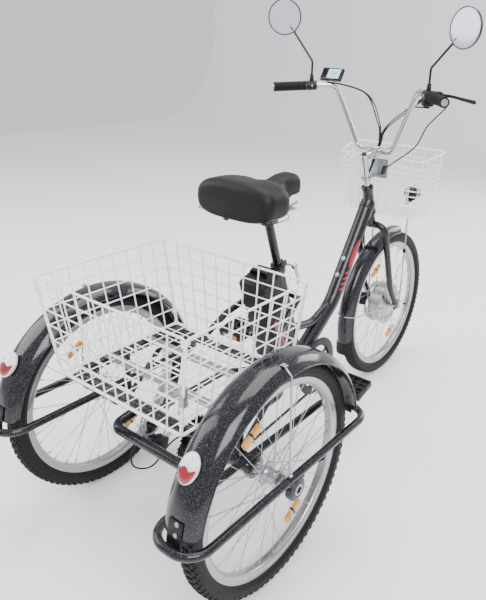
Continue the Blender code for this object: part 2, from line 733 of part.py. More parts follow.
def rear_basket():
    """Floor between four walls that stand on the flat bars, each its own panel."""
    floor_z = BAR_TOP + FIT_GAP + BASKET_SHEET / 2
    foot_z = BAR_TOP + FIT_GAP + 0.0005
    top_z = floor_z + BASKET_SHEET / 2 + BASKET_HEIGHT
    low = BASKET_BOTTOM_HALF
    high = BASKET_TOP_HALF
    edge = BASKET_SHEET / 2 + 0.0010
    panel("basket_floor", [
        behind(edge - low, BASKET_FRONT + edge, floor_z),
        behind(low - edge, BASKET_FRONT + edge, floor_z),
        behind(low - edge, BASKET_REAR_BOTTOM - edge, floor_z),
        behind(edge - low, BASKET_REAR_BOTTOM - edge, floor_z),
    ])
    for side, sign in SIDES:
        panel("basket_wall_" + side, [
            behind(sign * low, BASKET_FRONT, foot_z),
            behind(sign * low, BASKET_REAR_BOTTOM, foot_z),
            behind(sign * high, BASKET_REAR_TOP, top_z),
            behind(sign * high, BASKET_FRONT, top_z),
        ])
    inset = BASKET_SHEET / 2 + 0.0008
    for name, bottom, top in (("front", BASKET_FRONT, BASKET_FRONT),
                              ("rear", BASKET_REAR_BOTTOM, BASKET_REAR_TOP)):
        panel("basket_wall_" + name, [
            behind(inset - low, bottom, foot_z),
            behind(low - inset, bottom, foot_z),
            behind(high - inset, top, top_z),
            behind(inset - high, top, top_z),
        ])


# ---- drive --------------------------------------------------------------------------------------
def belt_path(wheels_in_order, arc_step=math.radians(22)):
    """Closed path round circles (y, z, radius, sense), each wrapped the way its sense says.

    Its corners lie outside the circles, so that its straights touch them.
    """
    count = len(wheels_in_order)
    angles = []
    for index in range(count):
        y0, z0, r0, sense0 = wheels_in_order[index]
        y1, z1, r1, sense1 = wheels_in_order[(index + 1) % count]
        gap = math.hypot(y1 - y0, z1 - z0)
        heading = math.atan2(z1 - z0, y1 - y0)
        angles.append(heading - math.asin((sense0 * r0 - sense1 * r1) / gap))
    path = []
    for index in range(count):
        y, z, radius, sense = wheels_in_order[index]
        first = angles[index - 1] + sense * math.pi / 2
        last = angles[index] + sense * math.pi / 2
        wrap = (first - last) * sense % (2 * math.pi)
        steps = max(2, round(wrap / arc_step))
        reach = radius / math.cos(wrap / steps / 2)
        for step in range(steps):
            angle = first - sense * wrap * (step + 0.5) / steps
            path.append((y + reach * math.cos(angle), z + reach * math.sin(angle)))
    return path


def pulley_places():
    """Middles of the derailleur's guide and tension pulleys, ahead of and above the axle."""
    cog = chain_radius(COG_TEETH[CHAIN_COG])
    guide = (0.006, -cog - chain_radius(PULLEY_TEETH) - 0.014)
    tension = (0.022, guide[1] - 0.056)
    return guide, tension


def drive_chain():
    """Chain round the chainring, both pulleys and one cog, as a flat closed band."""
    guide, tension = pulley_places()
    pulley = chain_radius(PULLEY_TEETH)
    stops = [
        (0, 0, chain_radius(COG_TEETH[CHAIN_COG]), 1),
        (BB_AHEAD, -BB_DROP, chain_radius(CHAINRING_TEETH), 1),
        (tension[0], tension[1], pulley, 1),
        (guide[0], guide[1], pulley, -1),
    ]
    path = belt_path(stops)
    count = len(path)
    bm = bmesh.new()
    for offset in (CHAIN_HALF_HEIGHT, -CHAIN_HALF_HEIGHT):
        ring = []
        for index, (ahead, up) in enumerate(path):
            before = Vector(path[index - 1])
            after = Vector(path[(index + 1) % count])
            along = (after - before).normalized()
            ring.append(bm.verts.new((CHAIN_LINE - CHAIN_HALF_WIDTH,
                                      REAR_Y - ahead + along.y * offset,
                                      WHEEL_RADIUS + up + along.x * offset)))
        for index in range(count):
            bm.edges.new((ring[index], ring[(index + 1) % count]))
    bmesh.ops.bridge_loops(bm, edges=bm.edges[:])
    band = bmesh.ops.extrude_face_region(bm, geom=bm.faces[:])
    lifted = [item for item in band["geom"] if isinstance(item, bmesh.types.BMVert)]
    bmesh.ops.translate(bm, vec=(2 * CHAIN_HALF_WIDTH, 0, 0), verts=lifted)
    bmesh.ops.recalc_face_normals(bm, faces=bm.faces)
    return from_bmesh("drive_chain", "steel", bm, smooth=False)


def derailleur():
    """Hanger, body, outer cage plate and two pulleys, as one piece."""
    guide, tension = pulley_places()
    outer_x = CHAIN_LINE - CHAIN_HALF_WIDTH - 0.0045
    spots = [REAR_AXLE + Vector((0, -ahead, up)) for ahead, up in (guide, tension)]
    middle = (spots[0] + spots[1]) / 2
    along = spots[1] - spots[0]
    plate_turn = facing(along, Vector(), X_AXIS)
    plate = box("derailleur", "black_plastic", (0.016, 0.003, along.length + 0.020),
                middle + X_AXIS * outer_x, plate_turn)
    tools = []
    for spot in spots:
        start = spot + X_AXIS * outer_x
        end = spot + X_AXIS * (CHAIN_LINE + CHAIN_HALF_WIDTH)
        tools.append(rod("pulley", None, start, end, cog_radius(PULLEY_TEETH), sides=14))
    top_z = WHEEL_RADIUS - HOUSING_RADIUS - FIT_GAP
    foot_z = spots[0].z - 0.012
    hanger_x = HOUSING_INNER_RIGHT - 0.006
    tools.append(box("hanger", None, (0.006, 0.020, top_z - foot_z),
                     Vector((hanger_x, spots[0].y, (top_z + foot_z) / 2))))
    tools.append(rod("knuckle", None, Vector((hanger_x, spots[0].y, spots[0].z)),
                     spots[0] + X_AXIS * outer_x, 0.0105, sides=12))
    return join(plate, *tools)


def sprocket():
    """Seven cogs on the freewheel's shell, turning on the axle shaft."""
    bore = AXLE_RADIUS + 0.004 + RUN_GAP
    half = 0.0009
    profile = []
    first_x = CHAIN_LINE + CHAIN_COG * COG_PITCH
    for index, teeth in enumerate(COG_TEETH):
        x = first_x - index * COG_PITCH
        root = 0.020
        profile += [(root, x + half), (cog_radius(teeth), x + half), (cog_radius(teeth), x - half), (root, x - half)]
    profile = [(bore, profile[0][1])] + profile + [(bore, profile[-1][1])]
    return turned("sprocket", "steel", profile, REAR_AXLE, X_AXIS, 16)


def crank_tip(sign):
    """Pedal axis on a crank: the right one (-1) points forward and down, the left one opposite."""
    reach = Vector((0, -math.cos(CRANK_DIP), -math.sin(CRANK_DIP))) * CRANK_LENGTH
    return BB + reach * -sign


def crank_arm(name, look, sign):
    tip = crank_tip(sign) + X_AXIS * sign * CRANK_PLANE
    root = BB + X_AXIS * sign * CRANK_PLANE
    along = tip - root
    arm = box(name, look, (0.022, 0.012, along.length + 0.022), (tip + root) / 2,
              facing(along, Vector(), X_AXIS), 0.003)
    return arm


def cranks():
    crank = pivot("crank_axis", BB)
    ring_x = CHAIN_LINE
    root = cog_radius(CHAINRING_TEETH)
    profile = [
        (0, ring_x + 0.0012),
        (root, ring_x + 0.0012),
        (root, ring_x - 0.0012),
        (root - 0.012, ring_x - 0.0012),
        (root - 0.012, ring_x - 0.0056),
        (GUARD_DISC_RADIUS, ring_x - 0.0056),
        (GUARD_DISC_RADIUS, ring_x - 0.0082),
        (0, ring_x - 0.0082),
    ]
    ring = turned("crankset", "black_plastic", profile, BB, X_AXIS, 28)
    spindle_end = CRANK_PLANE - 0.006 - FIT_GAP
    join(ring,
         rod("spindle", None, BB - X_AXIS * 0.090, BB + X_AXIS * spindle_end, SPINDLE_RADIUS),
         crank_arm("right_arm", None, -1))
    carry(crank, ring, crank_arm("left_crank", "black_paint", 1))
    for side, sign in SIDES:
        tip = crank_tip(sign)
        inner = tip + X_AXIS * sign * (CRANK_PLANE + 0.006 + FIT_GAP)
        middle = inner + X_AXIS * sign * (0.010 + PEDAL_SIZE[0] / 2)
        body = box("pedal_" + side, "black_plastic", PEDAL_SIZE, middle,
                   Matrix.Rotation(math.radians(-14), 4, "X"), 0.006)
        join(body, rod("pedal_spindle", None, inner, middle, 0.007, sides=12))
        holder = pivot("pedal_" + side + "_axis", tip, crank)
        carry(holder, body)
    free = pivot("freewheel_axis", REAR_AXLE)
    carry(free, sprocket())


def rear_caliper():
    """Caliper that straddles the lower edge of the rear brake disc."""
    disc_x = 0.072 + DISC_THICKNESS / 2
    angle = math.radians(-72)
    centre = REAR_AXLE + radial(angle, DISC_RADIUS - 0.006, disc_x)
    turn = Matrix.Rotation(angle, 4, "X")
    body = box("rear_caliper", "black_plastic", (0.040, 0.034, 0.056), centre, turn, 0.004)
    arm_top = WHEEL_RADIUS - HOUSING_RADIUS - FIT_GAP
    arm_height = arm_top - centre.z + 0.010
    join(body, box("caliper_arm", None, (0.036, 0.024, arm_height),
                   behind(HOUSING_INNER_LEFT, 0.010, arm_top - arm_height / 2)))
    slot = rod("disc_slot", None, REAR_AXLE + X_AXIS * (disc_x - 0.0022),
               REAR_AXLE + X_AXIS * (disc_x + 0.0022), DISC_RADIUS + 0.002, sides=48)
    return cut(body, slot)


# ---- seat, battery --------------------------------------------------------------------------------
def seat_group():
    clamp_low = SEAT_TUBE_LENGTH - 0.027
    inner = SEAT_TUBE_RADIUS + FIT_GAP
    profile = [(inner, 0.027), (inner + 0.005, 0.027), (inner + 0.005, 0), (inner, 0)]
    clamp = turned("seat_clamp", "black_paint", profile, seat(clamp_low), SEAT_DIR, 24)
    bolt_back = -inner - 0.0095
    bolt = seat(clamp_low + 0.0135, bolt_back)
    join(clamp,
         box("clamp_ears", None, (0.013, 0.022, 0.020), bolt + SEAT_BACK * 0.001,
             facing(SEAT_DIR, Vector(), X_AXIS)),
         rod("skewer", None, bolt - X_AXIS * 0.038, bolt + X_AXIS * 0.022, 0.004, sides=12))

    cam = bolt - X_AXIS * (0.038 + FIT_GAP + 0.006)
    quick = pivot("seat_lever_axis", cam)
    lever = rod("seat_lever", "silver", cam - SEAT_BACK * 0.009, cam + SEAT_BACK * 0.009, 0.006, sides=14)
    blade = rounded_path([cam, cam - SEAT_DIR * 0.030 - X_AXIS * 0.003, cam - SEAT_DIR * 0.066], 0.02, 3)
    join(lever, mesh_tube("seat_lever_blade", None, blade, 0.0045, 2))
    carry(quick, lever)

    slide = pivot("seat_post_axis", seat(SEAT_TUBE_LENGTH))
    post = rod("seat_post", "black_paint", seat(POST_FOOT), seat(POST_TOP), POST_RADIUS)
    top = seat(POST_TOP)
    hinge = top + Vector((0, -0.036, 0.016))
    head = box("post_head", None, (0.022, 0.060, 0.022), top + Vector((0, -0.006, 0.0)), round_edge=0.003)
    knuckle = rod("knuckle", None, hinge - X_AXIS * 0.012, hinge + X_AXIS * 0.012, 0.0085)
    join(post, head, knuckle)
    cut(post, rod("hinge_bore", None, hinge - X_AXIS * 0.03, hinge + X_AXIS * 0.03, 0.0035, sides=BORE_SIDES))
    carry(slide, post)

    flip = pivot("saddle_axis", hinge, slide)
    deck_z = hinge.z + 0.0115
    deck_middle = Vector((0, top.y + 0.004, deck_z + 0.0025))
    deck = box("saddle_base", "steel", (0.086, 0.175, 0.005), deck_middle)
    tools = [rod("hinge_pin", None, hinge - X_AXIS * 0.020, hinge + X_AXIS * 0.020, 0.003, sides=12)]
    for sign in (1, -1):
        lug_x = sign * (0.012 + RUN_GAP + 0.003)
        tools.append(box("lug", None, (0.006, 0.018, 0.023),
                         Vector((lug_x, hinge.y, hinge.z + 0.0020))))
    join(deck, *tools)
    carry(flip, deck, saddle(deck_z + 0.005 + FIT_GAP, top.y + SADDLE_BACK))

    root = Vector((0.032, top.y + 0.050, deck_z - 0.006))
    release = pivot("saddle_lever_axis", root, flip)
    arm = smooth_path([root, root + Vector((0.020, 0.014, -0.004)), root + Vector((0.044, 0.040, -0.004))], 3)
    catch = mesh_tube("saddle_lever", "black_plastic", arm, 0.0045, 2)
    hub_piece = rod("lever_hub", None, root - Z_AXIS * 0.006, root + Z_AXIS * 0.0055, 0.008)
    knob = bmesh.new()
    bmesh.ops.create_uvsphere(knob, u_segments=10, v_segments=6, radius=0.010)
    knob_matrix = Matrix.Translation(root + Vector((0.048, 0.044, -0.008)))
    join(catch, hub_piece, from_bmesh("lever_knob", None, knob, knob_matrix))
    carry(release, catch)


def saddle(bottom_z, middle_y):
    """Wide saddle: a block drawn in towards the nose and rounded over its edges."""
    bm = bmesh.new()
    bmesh.ops.create_cube(bm, size=2.0)
    bmesh.ops.subdivide_edges(bm, edges=bm.edges[:], cuts=4, use_grid_fill=True)
    rear_y = middle_y + SADDLE_LENGTH / 2
    for vert in bm.verts:
        across, along, up = vert.co
        t = (1 - along) / 2
        narrow = 0.5 * (1 - math.cos(math.pi * min(max((t - 0.22) / 0.50, 0), 1)))
        half = SADDLE_WIDTH / 2 * (1 - 0.70 * narrow)
        end = math.sqrt(max(1 - abs(along) ** 4 * 0.80, 0.05))
        edge = math.sqrt(max(1 - abs(across) ** 5 * 0.55, 0.05))
        lift = 0.012 * math.sin(math.pi * max(t - 0.35, 0) / 0.65)
        crown = SADDLE_HEIGHT * edge * end + lift
        vert.co.x = across * half * end * (1 if up > 0 else 0.93)
        vert.co.y = rear_y - t * SADDLE_LENGTH
        vert.co.z = bottom_z + (up + 1) / 2 * crown
    bmesh.ops.recalc_face_normals(bm, faces=bm.faces)
    return from_bmesh("saddle", "saddle_skin", bm)


def battery_group():
    length = BATTERY_SIZE[2]
    dock_back = SEAT_TUBE_RADIUS + FIT_GAP + DOCK_DEPTH / 2
    turn = facing(SEAT_DIR, Vector(), X_AXIS)
    dock_top = SEAT_TUBE_LENGTH - 0.034
    dock_length = dock_top - BATTERY_START - 0.016
    middle = seat(dock_top - dock_length / 2, dock_back)
    box("battery_dock", "black_plastic", (DOCK_DEPTH, 0.046, dock_length), middle, turn)
    pack_back = dock_back + DOCK_DEPTH / 2 + FIT_GAP + BATTERY_SIZE[0] / 2
    holder = pivot("battery_axis", seat(BATTERY_START, pack_back))
    case = box("battery", "black_plastic", BATTERY_SIZE, seat(BATTERY_START + length / 2, pack_back), turn, 0.010)
    carry(holder, case)


# ---- steering -------------------------------------------------------------------------------------
def fork():
    """Steerer, two blades that curve out of its foot, and the fixed front axle."""
    crown_s = FORK_LENGTH - CROWN_DROP
    crown = steer(crown_s)
    top_s = HEAD_TOP - 0.004
    piece = rod("fork", "black_paint", steer(crown_s - 0.008), steer(top_s), STEERER_RADIUS)
    collar = rod("crown_race", None, steer(crown_s), steer(FORK_LENGTH - RUN_GAP), HEAD_TUBE_RADIUS - 0.002)
    tools = [collar]
    for sign in (1, -1):
        shoulder = rounded_path([
            crown + X_AXIS * sign * 0.004,
            crown + X_AXIS * sign * BLADE_SPREAD,
            steer(0.200, 0.003, sign * BLADE_SPREAD),
        ], 0.036, 4)
        foot = rounded_path([
            shoulder[-1],
            steer(0.120, 0.004, sign * BLADE_SPREAD),
            FRONT_AXLE + Vector((sign * BLADE_SPREAD, -0.001, -0.004)),
        ], 0.200, 4)
        tools.append(mesh_tube("blade", None, shoulder[:-1] + foot[1:], BLADE_RADIUS, 3))
    axle = X_AXIS * (BLADE_SPREAD + BLADE_RADIUS + 0.004)
    tools.append(rod("front_axle", None, FRONT_AXLE - axle, FRONT_AXLE + axle, FRONT_AXLE_RADIUS))
    return join(piece, *tools)


def stem_and_bar():
    """Quill stem with its forward clamp, and the high swept-back bar that it holds."""
    top = steer(HEAD_TOP + STEM_RISE)
    stem = rod("stem", "chrome", steer(HEAD_TOP + FIT_GAP), top, 0.0125)
    nose = BAR_CENTRE
    arm = box("stem_arm", None, (0.026, (top - nose).length + 0.010, 0.026), (top + nose) / 2,
              Matrix.Rotation(math.atan2((top - nose).z, (top - nose).y), 4, "X"), 0.006)
    barrel = rod("bar_clamp", None, nose - X_AXIS * 0.021, nose + X_AXIS * 0.021, 0.0165)
    join(stem, arm, barrel)
    bore = (BAR_RADIUS + FIT_GAP) / math.cos(math.pi / BORE_SIDES)
    cut(stem, rod("bar_bore", None, nose - X_AXIS * 0.05, nose + X_AXIS * 0.05, bore, sides=BORE_SIDES))
    corner_x = 0.070
    right = [
        BAR_CENTRE + X_AXIS * corner_x,
        BAR_BEND,
        BAR_END,
    ]
    left = [Vector((-point.x, point.y, point.z)) for point in reversed(right)]
    path = rounded_path(left + right, 0.038, 5)
    bar = curve_tube("handlebar", "chrome", path, BAR_RADIUS, 3)
    return stem, bar


def mirrored(point, sign):
    """Point on the left half, or its mirror on the right."""
    return Vector((sign * point.x, point.y, point.z))


def along_bar(distance, sign):
    """Point on the bar's straight end, measured inwards from its tip."""
    return mirrored(BAR_END - GRIP_DIR * distance, sign)


def sleeve(name, look, near, far, radius, sign, bore=BAR_RADIUS + FIT_GAP):
    """Round sleeve on the bar between two distances from its tip."""
    start = along_bar(near, sign)
    end = along_bar(far, sign)
    length = (end - start).length
    profile = [(bore, length), (radius, length), (radius, 0), (bore, 0)]
    return turned(name, look, profile, start, end - start, 20)


def bar_controls(steering):
    """Grips, throttle, brake levers and shifter on the bar's ends."""
    grip_end = GRIP_LENGTH
    twist = grip_end - THROTTLE_SHARE
    carry(steering, sleeve("grip_left", "rubber", 0.002, grip_end, GRIP_RADIUS, 1))
    carry(steering, sleeve("grip_right", "rubber", 0.002, twist - FIT_GAP, GRIP_RADIUS, -1))
    throttle = sleeve("throttle_grip", "rubber", twist, grip_end, GRIP_RADIUS + 0.002, -1, BAR_RADIUS + RUN_GAP)
    holder = pivot("throttle_axis", along_bar(grip_end, -1), steering)
    carry(holder, throttle)
    ahead_dir = Vector((GRIP_DIR.y, -GRIP_DIR.x, 0)).normalized()
    for side, sign in SIDES:
        near = grip_end + 0.0015
        mount = sleeve("lever_mount_" + side, "black_plastic", near, near + 0.036, 0.0165, sign)
        middle = along_bar(near + 0.018, 1)
        hinge = middle + ahead_dir * 0.036 + Vector((0, 0, 0.002))
        yoke = rod("yoke", None, mirrored(middle + ahead_dir * 0.014, sign),
                   mirrored(hinge + ahead_dir * 0.003, sign), 0.0085)
        boss_top = mirrored(middle + Vector((0, 0, 0.030)), sign)
        boss = rod("mirror_boss", None, mirrored(middle + Z_AXIS * 0.013, sign), boss_top, 0.008, sides=12)
        join(mount, yoke, boss)
        if side == "right":
            pod = middle - Z_AXIS * POD_DROP
            turn = Matrix.Rotation(math.atan2(GRIP_DIR.y, sign * GRIP_DIR.x), 4, "Z")
            join(mount, box("shifter_pod", None, (0.030, 0.032, 0.020), mirrored(pod, sign), turn, 0.004))
        carry(steering, mount)
        slot = rod("lever_slot", None, mirrored(hinge, sign) - Z_AXIS * 0.0062,
                   mirrored(hinge, sign) + Z_AXIS * 0.0062, 0.0115)
        cut(mount, slot)
        blade = smooth_path([
            mirrored(hinge, sign),
            mirrored(hinge + Vector((0.040, -0.004, -0.001)), sign),
            mirrored(hinge + Vector((0.085, 0.018, -0.005)), sign),
            mirrored(hinge + Vector((0.132, 0.034, -0.010)), sign),
        ], 4)
        lever = mesh_tube("brake_lever_" + side, "black_plastic", blade, 0.0050, 2)
        eye = rod("lever_eye", None, mirrored(hinge, sign) - Z_AXIS * 0.0055,
                  mirrored(hinge, sign) + Z_AXIS * 0.0055, 0.0085, sides=14)
        join(lever, eye)
        holder = pivot("brake_lever_" + side + "_axis", mirrored(hinge, sign), steering)
        carry(holder, lever)
        mirror(side, sign, boss_top, steering)
    shift_foot = along_bar(grip_end + 0.0195, -1) - Z_AXIS * (POD_DROP + 0.010 + RUN_GAP)
    shift = pivot("shifter_axis", shift_foot, steering)
    thumb = box("shifter_lever", "black_plastic", (0.036, 0.012, 0.004), shift_foot + Vector((0.018, 0.012, -0.003)),
                Matrix.Rotation(math.radians(34), 4, "Z"))
    join(thumb, rod("shifter_hub", None, shift_foot - Z_AXIS * 0.006, shift_foot, 0.009))
    carry(shift, thumb)


def mirror(side, sign, boss_top, steering):
    """Mirror on a bent stalk that turns on its boss; its head tilts on the stalk's tip."""
    foot = boss_top + Z_AXIS * FIT_GAP
    bend = foot + Z_AXIS * 0.052
    out_by, up_by = MIRROR_STALK[side]
    tip = bend + Vector((sign * out_by, 0.028, up_by))
    swivel = pivot("mirror_stalk_" + side + "_axis", foot, steering)
    stalk = mesh_tube("mirror_stalk_" + side, "black_paint", rounded_path([foot, bend, tip], 0.016, 4),
                      MIRROR_ARM_RADIUS, 2)
    carry(swivel, stalk)
    out = (tip - bend).normalized()
    gaze = Vector((-0.26 * sign, 0.95, 0.10))
    gaze = (gaze - out * gaze.dot(out)).normalized()
    centre = tip + out * (MIRROR_RADIUS - 0.012)
    thick = MIRROR_THICKNESS
    profile = [
        (0, thick / 2),
        (MIRROR_RADIUS - 0.001, thick / 2),
        (MIRROR_RADIUS, thick / 2 - 0.002),
        (MIRROR_RADIUS - 0.002, 0.002 - thick / 2),
        (MIRROR_RADIUS * 0.80, -thick / 2),
        (0, -thick / 2),
    ]
    head = turned("mirror_head_" + side, "mirror", profile, centre, gaze, 24)
    socket = rod("tip_socket", None, tip - out * 0.020, tip + out * RUN_GAP, MIRROR_ARM_RADIUS + 2 * RUN_GAP)
    cut(head, socket)
    tilt = pivot("mirror_head_" + side + "_axis", tip, swivel)
    carry(tilt, head)


def display_unit(steering):
    """Display box above the left bar bend, with three push buttons on its face."""
    centre = BAR_BEND + Vector((0.006, 0.012, 0.034))
    tilt = Matrix.Rotation(math.radians(-58), 4, "X")
    case = box("display", "black_plastic", (0.088, 0.050, 0.015), centre, tilt, 0.003)
    foot = rod("display_foot", None, centre - Z_AXIS * 0.004, BAR_BEND + Vector((0.003, 0.003, BAR_RADIUS + 0.003)),
               0.008, sides=12)
    join(case, foot)
    face = tilt @ Z_AXIS
    down = tilt @ Y_AXIS
    names = ("button_up", "button_power", "button_down")
    for index, name in enumerate(names):
        spot = centre + X_AXIS * 0.036 + down * (0.013 * (index - 1)) + face * 0.0060
        bore = rod(name + "_bore", None, spot, spot + face * 0.004, 0.0042, sides=14)
        cut(case, bore)
        holder = pivot(name + "_axis", spot, steering)
        button = rod(name, "rubber", spot + face * 0.0014, spot + face * 0.0036, 0.0038, sides=14)
        carry(holder, button)
    carry(steering, case)


def front_basket():
    """Open basket ahead of the head tube, on a bracket from the stem."""
    rear_y = steer(HEAD_TOP).y - FRONT_BASKET_GAP
    front_y = rear_y - FRONT_BASKET_DEPTH
    low = FRONT_BASKET_BOTTOM
    high = low + FRONT_BASKET_HEIGHT
    sheet = 0.003

    def ring(z, half_rear, half_front, front_shift, inset, rise=0.0):
        return [
            (half_rear - inset, rear_y - inset, z),
            (half_front - inset, front_y - front_shift + inset, z + rise),
            (inset - half_front, front_y - front_shift + inset, z + rise),
            (inset - half_rear, rear_y - inset, z),
        ]

    rear_half = FRONT_BASKET_REAR_HALF
    front_half = FRONT_BASKET_FRONT_HALF
    rings = [
        ring(low, rear_half[0], front_half[0], -0.006, 0),
        ring(high, rear_half[1], front_half[1], 0.006, 0, FRONT_BASKET_RISE),
        ring(high, rear_half[1], front_half[1], 0.006, sheet, FRONT_BASKET_RISE),
        ring(low + sheet, rear_half[0], front_half[0], -0.006, sheet),
    ]
    bm = bmesh.new()
    loops = [[bm.verts.new(point) for point in corners] for corners in rings]
    bm.faces.new(loops[0])
    bm.faces.new(list(reversed(loops[3])))
    for first, second in zip(loops, loops[1:]):
        for index in range(4):
            after = (index + 1) % 4
            bm.faces.new((first[index], first[after], second[after], second[index]))
    bmesh.ops.recalc_face_normals(bm, faces=bm.faces)
    basket = from_bmesh("front_basket", "white_wire", bm, smooth=False)
    plate_z = high - 0.045
    plate = box("bracket_plate", None, (0.070, 0.004, 0.070), Vector((0, rear_y + 0.0015, plate_z)))
    reach = steer(HEAD_TOP + 0.035)
    gap = 0.0125 + FIT_GAP
    arm_start = Vector((0, rear_y + 0.001, reach.z))
    arm_end = Vector((0, reach.y - gap - 0.002, reach.z))
    arm = box("bracket_arm", None, (0.022, arm_end.y - arm_start.y, 0.006), (arm_start + arm_end) / 2)
    ring_piece = turned("bracket_ring", None, [(gap, 0.004), (gap + 0.006, 0.004), (gap + 0.006, -0.004), (gap, -0.004)],
                        reach, STEER_DIR, 20)
    join(basket, plate, arm, ring_piece)
    return basket, front_y


def headlight(front_y):
    """Round headlight in front of the basket's foot."""
    centre = Vector((-0.055, front_y - 0.036, FRONT_BASKET_BOTTOM + 0.050))
    profile = [(0, 0.026), (0.026, 0.024), (0.029, 0.018), (0.027, -0.004), (0.016, -0.018), (0, -0.021)]
    lamp = turned("headlight", "black_plastic", profile, centre, -Y_AXIS, 20)
    lug = box("headlight_lug", None, (0.014, 0.020, 0.010), centre + Vector((0, 0.008, -0.029)))
    return join(lamp, lug)


def front_caliper():
    """Caliper behind the left fork blade, straddling the front brake disc."""
    disc_x = MOTOR_HALF_WIDTH + 0.0085 + DISC_THICKNESS / 2
    angle = math.radians(20)
    centre = FRONT_AXLE + radial(angle, DISC_RADIUS + 0.004, disc_x)
    turn = Matrix.Rotation(angle, 4, "X")
    body = box("front_caliper", "black_plastic", (0.026, 0.036, 0.056), centre, turn, 0.004)
    slot = rod("front_disc_slot", None, FRONT_AXLE + X_AXIS * (disc_x - 0.0022),
               FRONT_AXLE + X_AXIS * (disc_x + 0.0022), DISC_RADIUS + 0.002, sides=48)
    hollow = rod("motor_clearance", None, FRONT_AXLE - X_AXIS * 0.05,
                 FRONT_AXLE + X_AXIS * (MOTOR_HALF_WIDTH + 0.004), MOTOR_RADIUS + 0.010, sides=48)
    return cut(body, slot, hollow)


def control_cables():
    """Cables from the levers, display and throttle to a tie, and down beside the head tube."""
    tie = BAR_CENTRE + Vector((0, -0.034, 0.030))
    neck = steer(HEAD_TOP + 0.010, -0.046, 0.024)
    foot = steer(FORK_LENGTH + 0.010, -0.034, 0.028)
    end = steer(FORK_LENGTH - 0.060, -0.026, 0.036)
    trunk = smooth_path([tie + Vector((0, 0.004, 0.030)), tie, neck, foot, end], 3)
    cables = mesh_tube("control_cables", "black_plastic", trunk, 0.0042, 2)
    low_left = along_bar(GRIP_LENGTH + 0.020, 1) + Vector((0, -0.055, 0.004))
    low_right = along_bar(GRIP_LENGTH + 0.020, -1) + Vector((0, -0.055, 0.004))
    for start, sag in ((low_left, 1), (low_right, -1)):
        swing = Vector((sag * 0.110, -0.075, 0.150))
        run = smooth_path([start, start + Vector((-sag * 0.050, -0.035, 0.004)), tie + swing,
                           tie + Vector((sag * 0.022, -0.020, 0.060)), tie + Vector((0, 0.001, 0.006))], 4)
        join(cables, mesh_tube("cable_run", None, run, 0.0025, 1))
    return cables


def steering_group():
    steering = pivot("steering_axis", steer(FORK_LENGTH))
    basket, front_y = front_basket()
    stem, bar = stem_and_bar()
    fender = arc_shell("front_fender", FRONT_AXLE, FRONT_FENDER_RADIUS, FRONT_FENDER_WIDTH,
                       math.radians(-12), math.radians(112), 11)
    carry(steering, fork(), stem, bar, fender, basket, headlight(front_y), front_caliper(), control_cables())
    bar_controls(steering)
    display_unit(steering)
    return steering


def build():
    main_frame()
    rear_carriage()
    for side, sign in SIDES:
        wheel_guard(side, sign)
        rear_fender(side, sign)
        tail_lamp(side, sign)
    rear_basket()
    drive_chain()
    derailleur()
    rear_caliper()
    cranks()
    seat_group()
    battery_group()
    wheels(steering_group())
    bpy.context.view_layer.update()


build()
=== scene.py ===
"""Looks of an adult electric tricycle: every visible surface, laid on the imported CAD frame.

Metres, +Z up. It faces -Y and the rider's left is +X. Each class below is one sub-assembly, each
Finish is one surface, and each piece is published on the CAD body that carries it.
"""
import logging
import math
from dataclasses import dataclass, field
from enum import Enum
from typing import Callable, Iterable, Sequence

import bmesh
import bpy
from mathutils import Matrix, Quaternion, Vector, noise

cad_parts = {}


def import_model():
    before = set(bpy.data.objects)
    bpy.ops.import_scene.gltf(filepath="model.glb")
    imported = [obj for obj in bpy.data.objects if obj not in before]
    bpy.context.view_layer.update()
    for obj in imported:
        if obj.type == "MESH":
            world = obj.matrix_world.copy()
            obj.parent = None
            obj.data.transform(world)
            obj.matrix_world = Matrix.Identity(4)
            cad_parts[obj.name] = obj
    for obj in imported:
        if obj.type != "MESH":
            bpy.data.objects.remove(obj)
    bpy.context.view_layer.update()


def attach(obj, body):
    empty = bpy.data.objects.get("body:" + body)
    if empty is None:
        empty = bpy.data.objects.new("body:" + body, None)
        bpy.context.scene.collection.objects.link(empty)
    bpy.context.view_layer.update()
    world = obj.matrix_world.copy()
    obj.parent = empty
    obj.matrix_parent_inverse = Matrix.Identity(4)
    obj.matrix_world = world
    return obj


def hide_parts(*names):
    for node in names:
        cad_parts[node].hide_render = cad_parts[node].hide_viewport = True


LOG = logging.getLogger("tricycle")
X_AXIS = Vector((1, 0, 0))
Y_AXIS = Vector((0, 1, 0))
Z_AXIS = Vector((0, 0, 1))
SIDES = (("left", 1), ("right", -1))
TAU = 2 * math.pi


class Kind(Enum):
    """How a finish builds its surface."""

    PLAIN = "plain"
    # Bright specks in the base colour: partly real paint flake, partly painted glints.
    FLAKE_AND_GLINT = "flake"
    BRUSHED = "brushed"
    RUBBER = "rubber"
    GRAINED = "grained"
    LENS = "lens"
    GLOW = "glow"


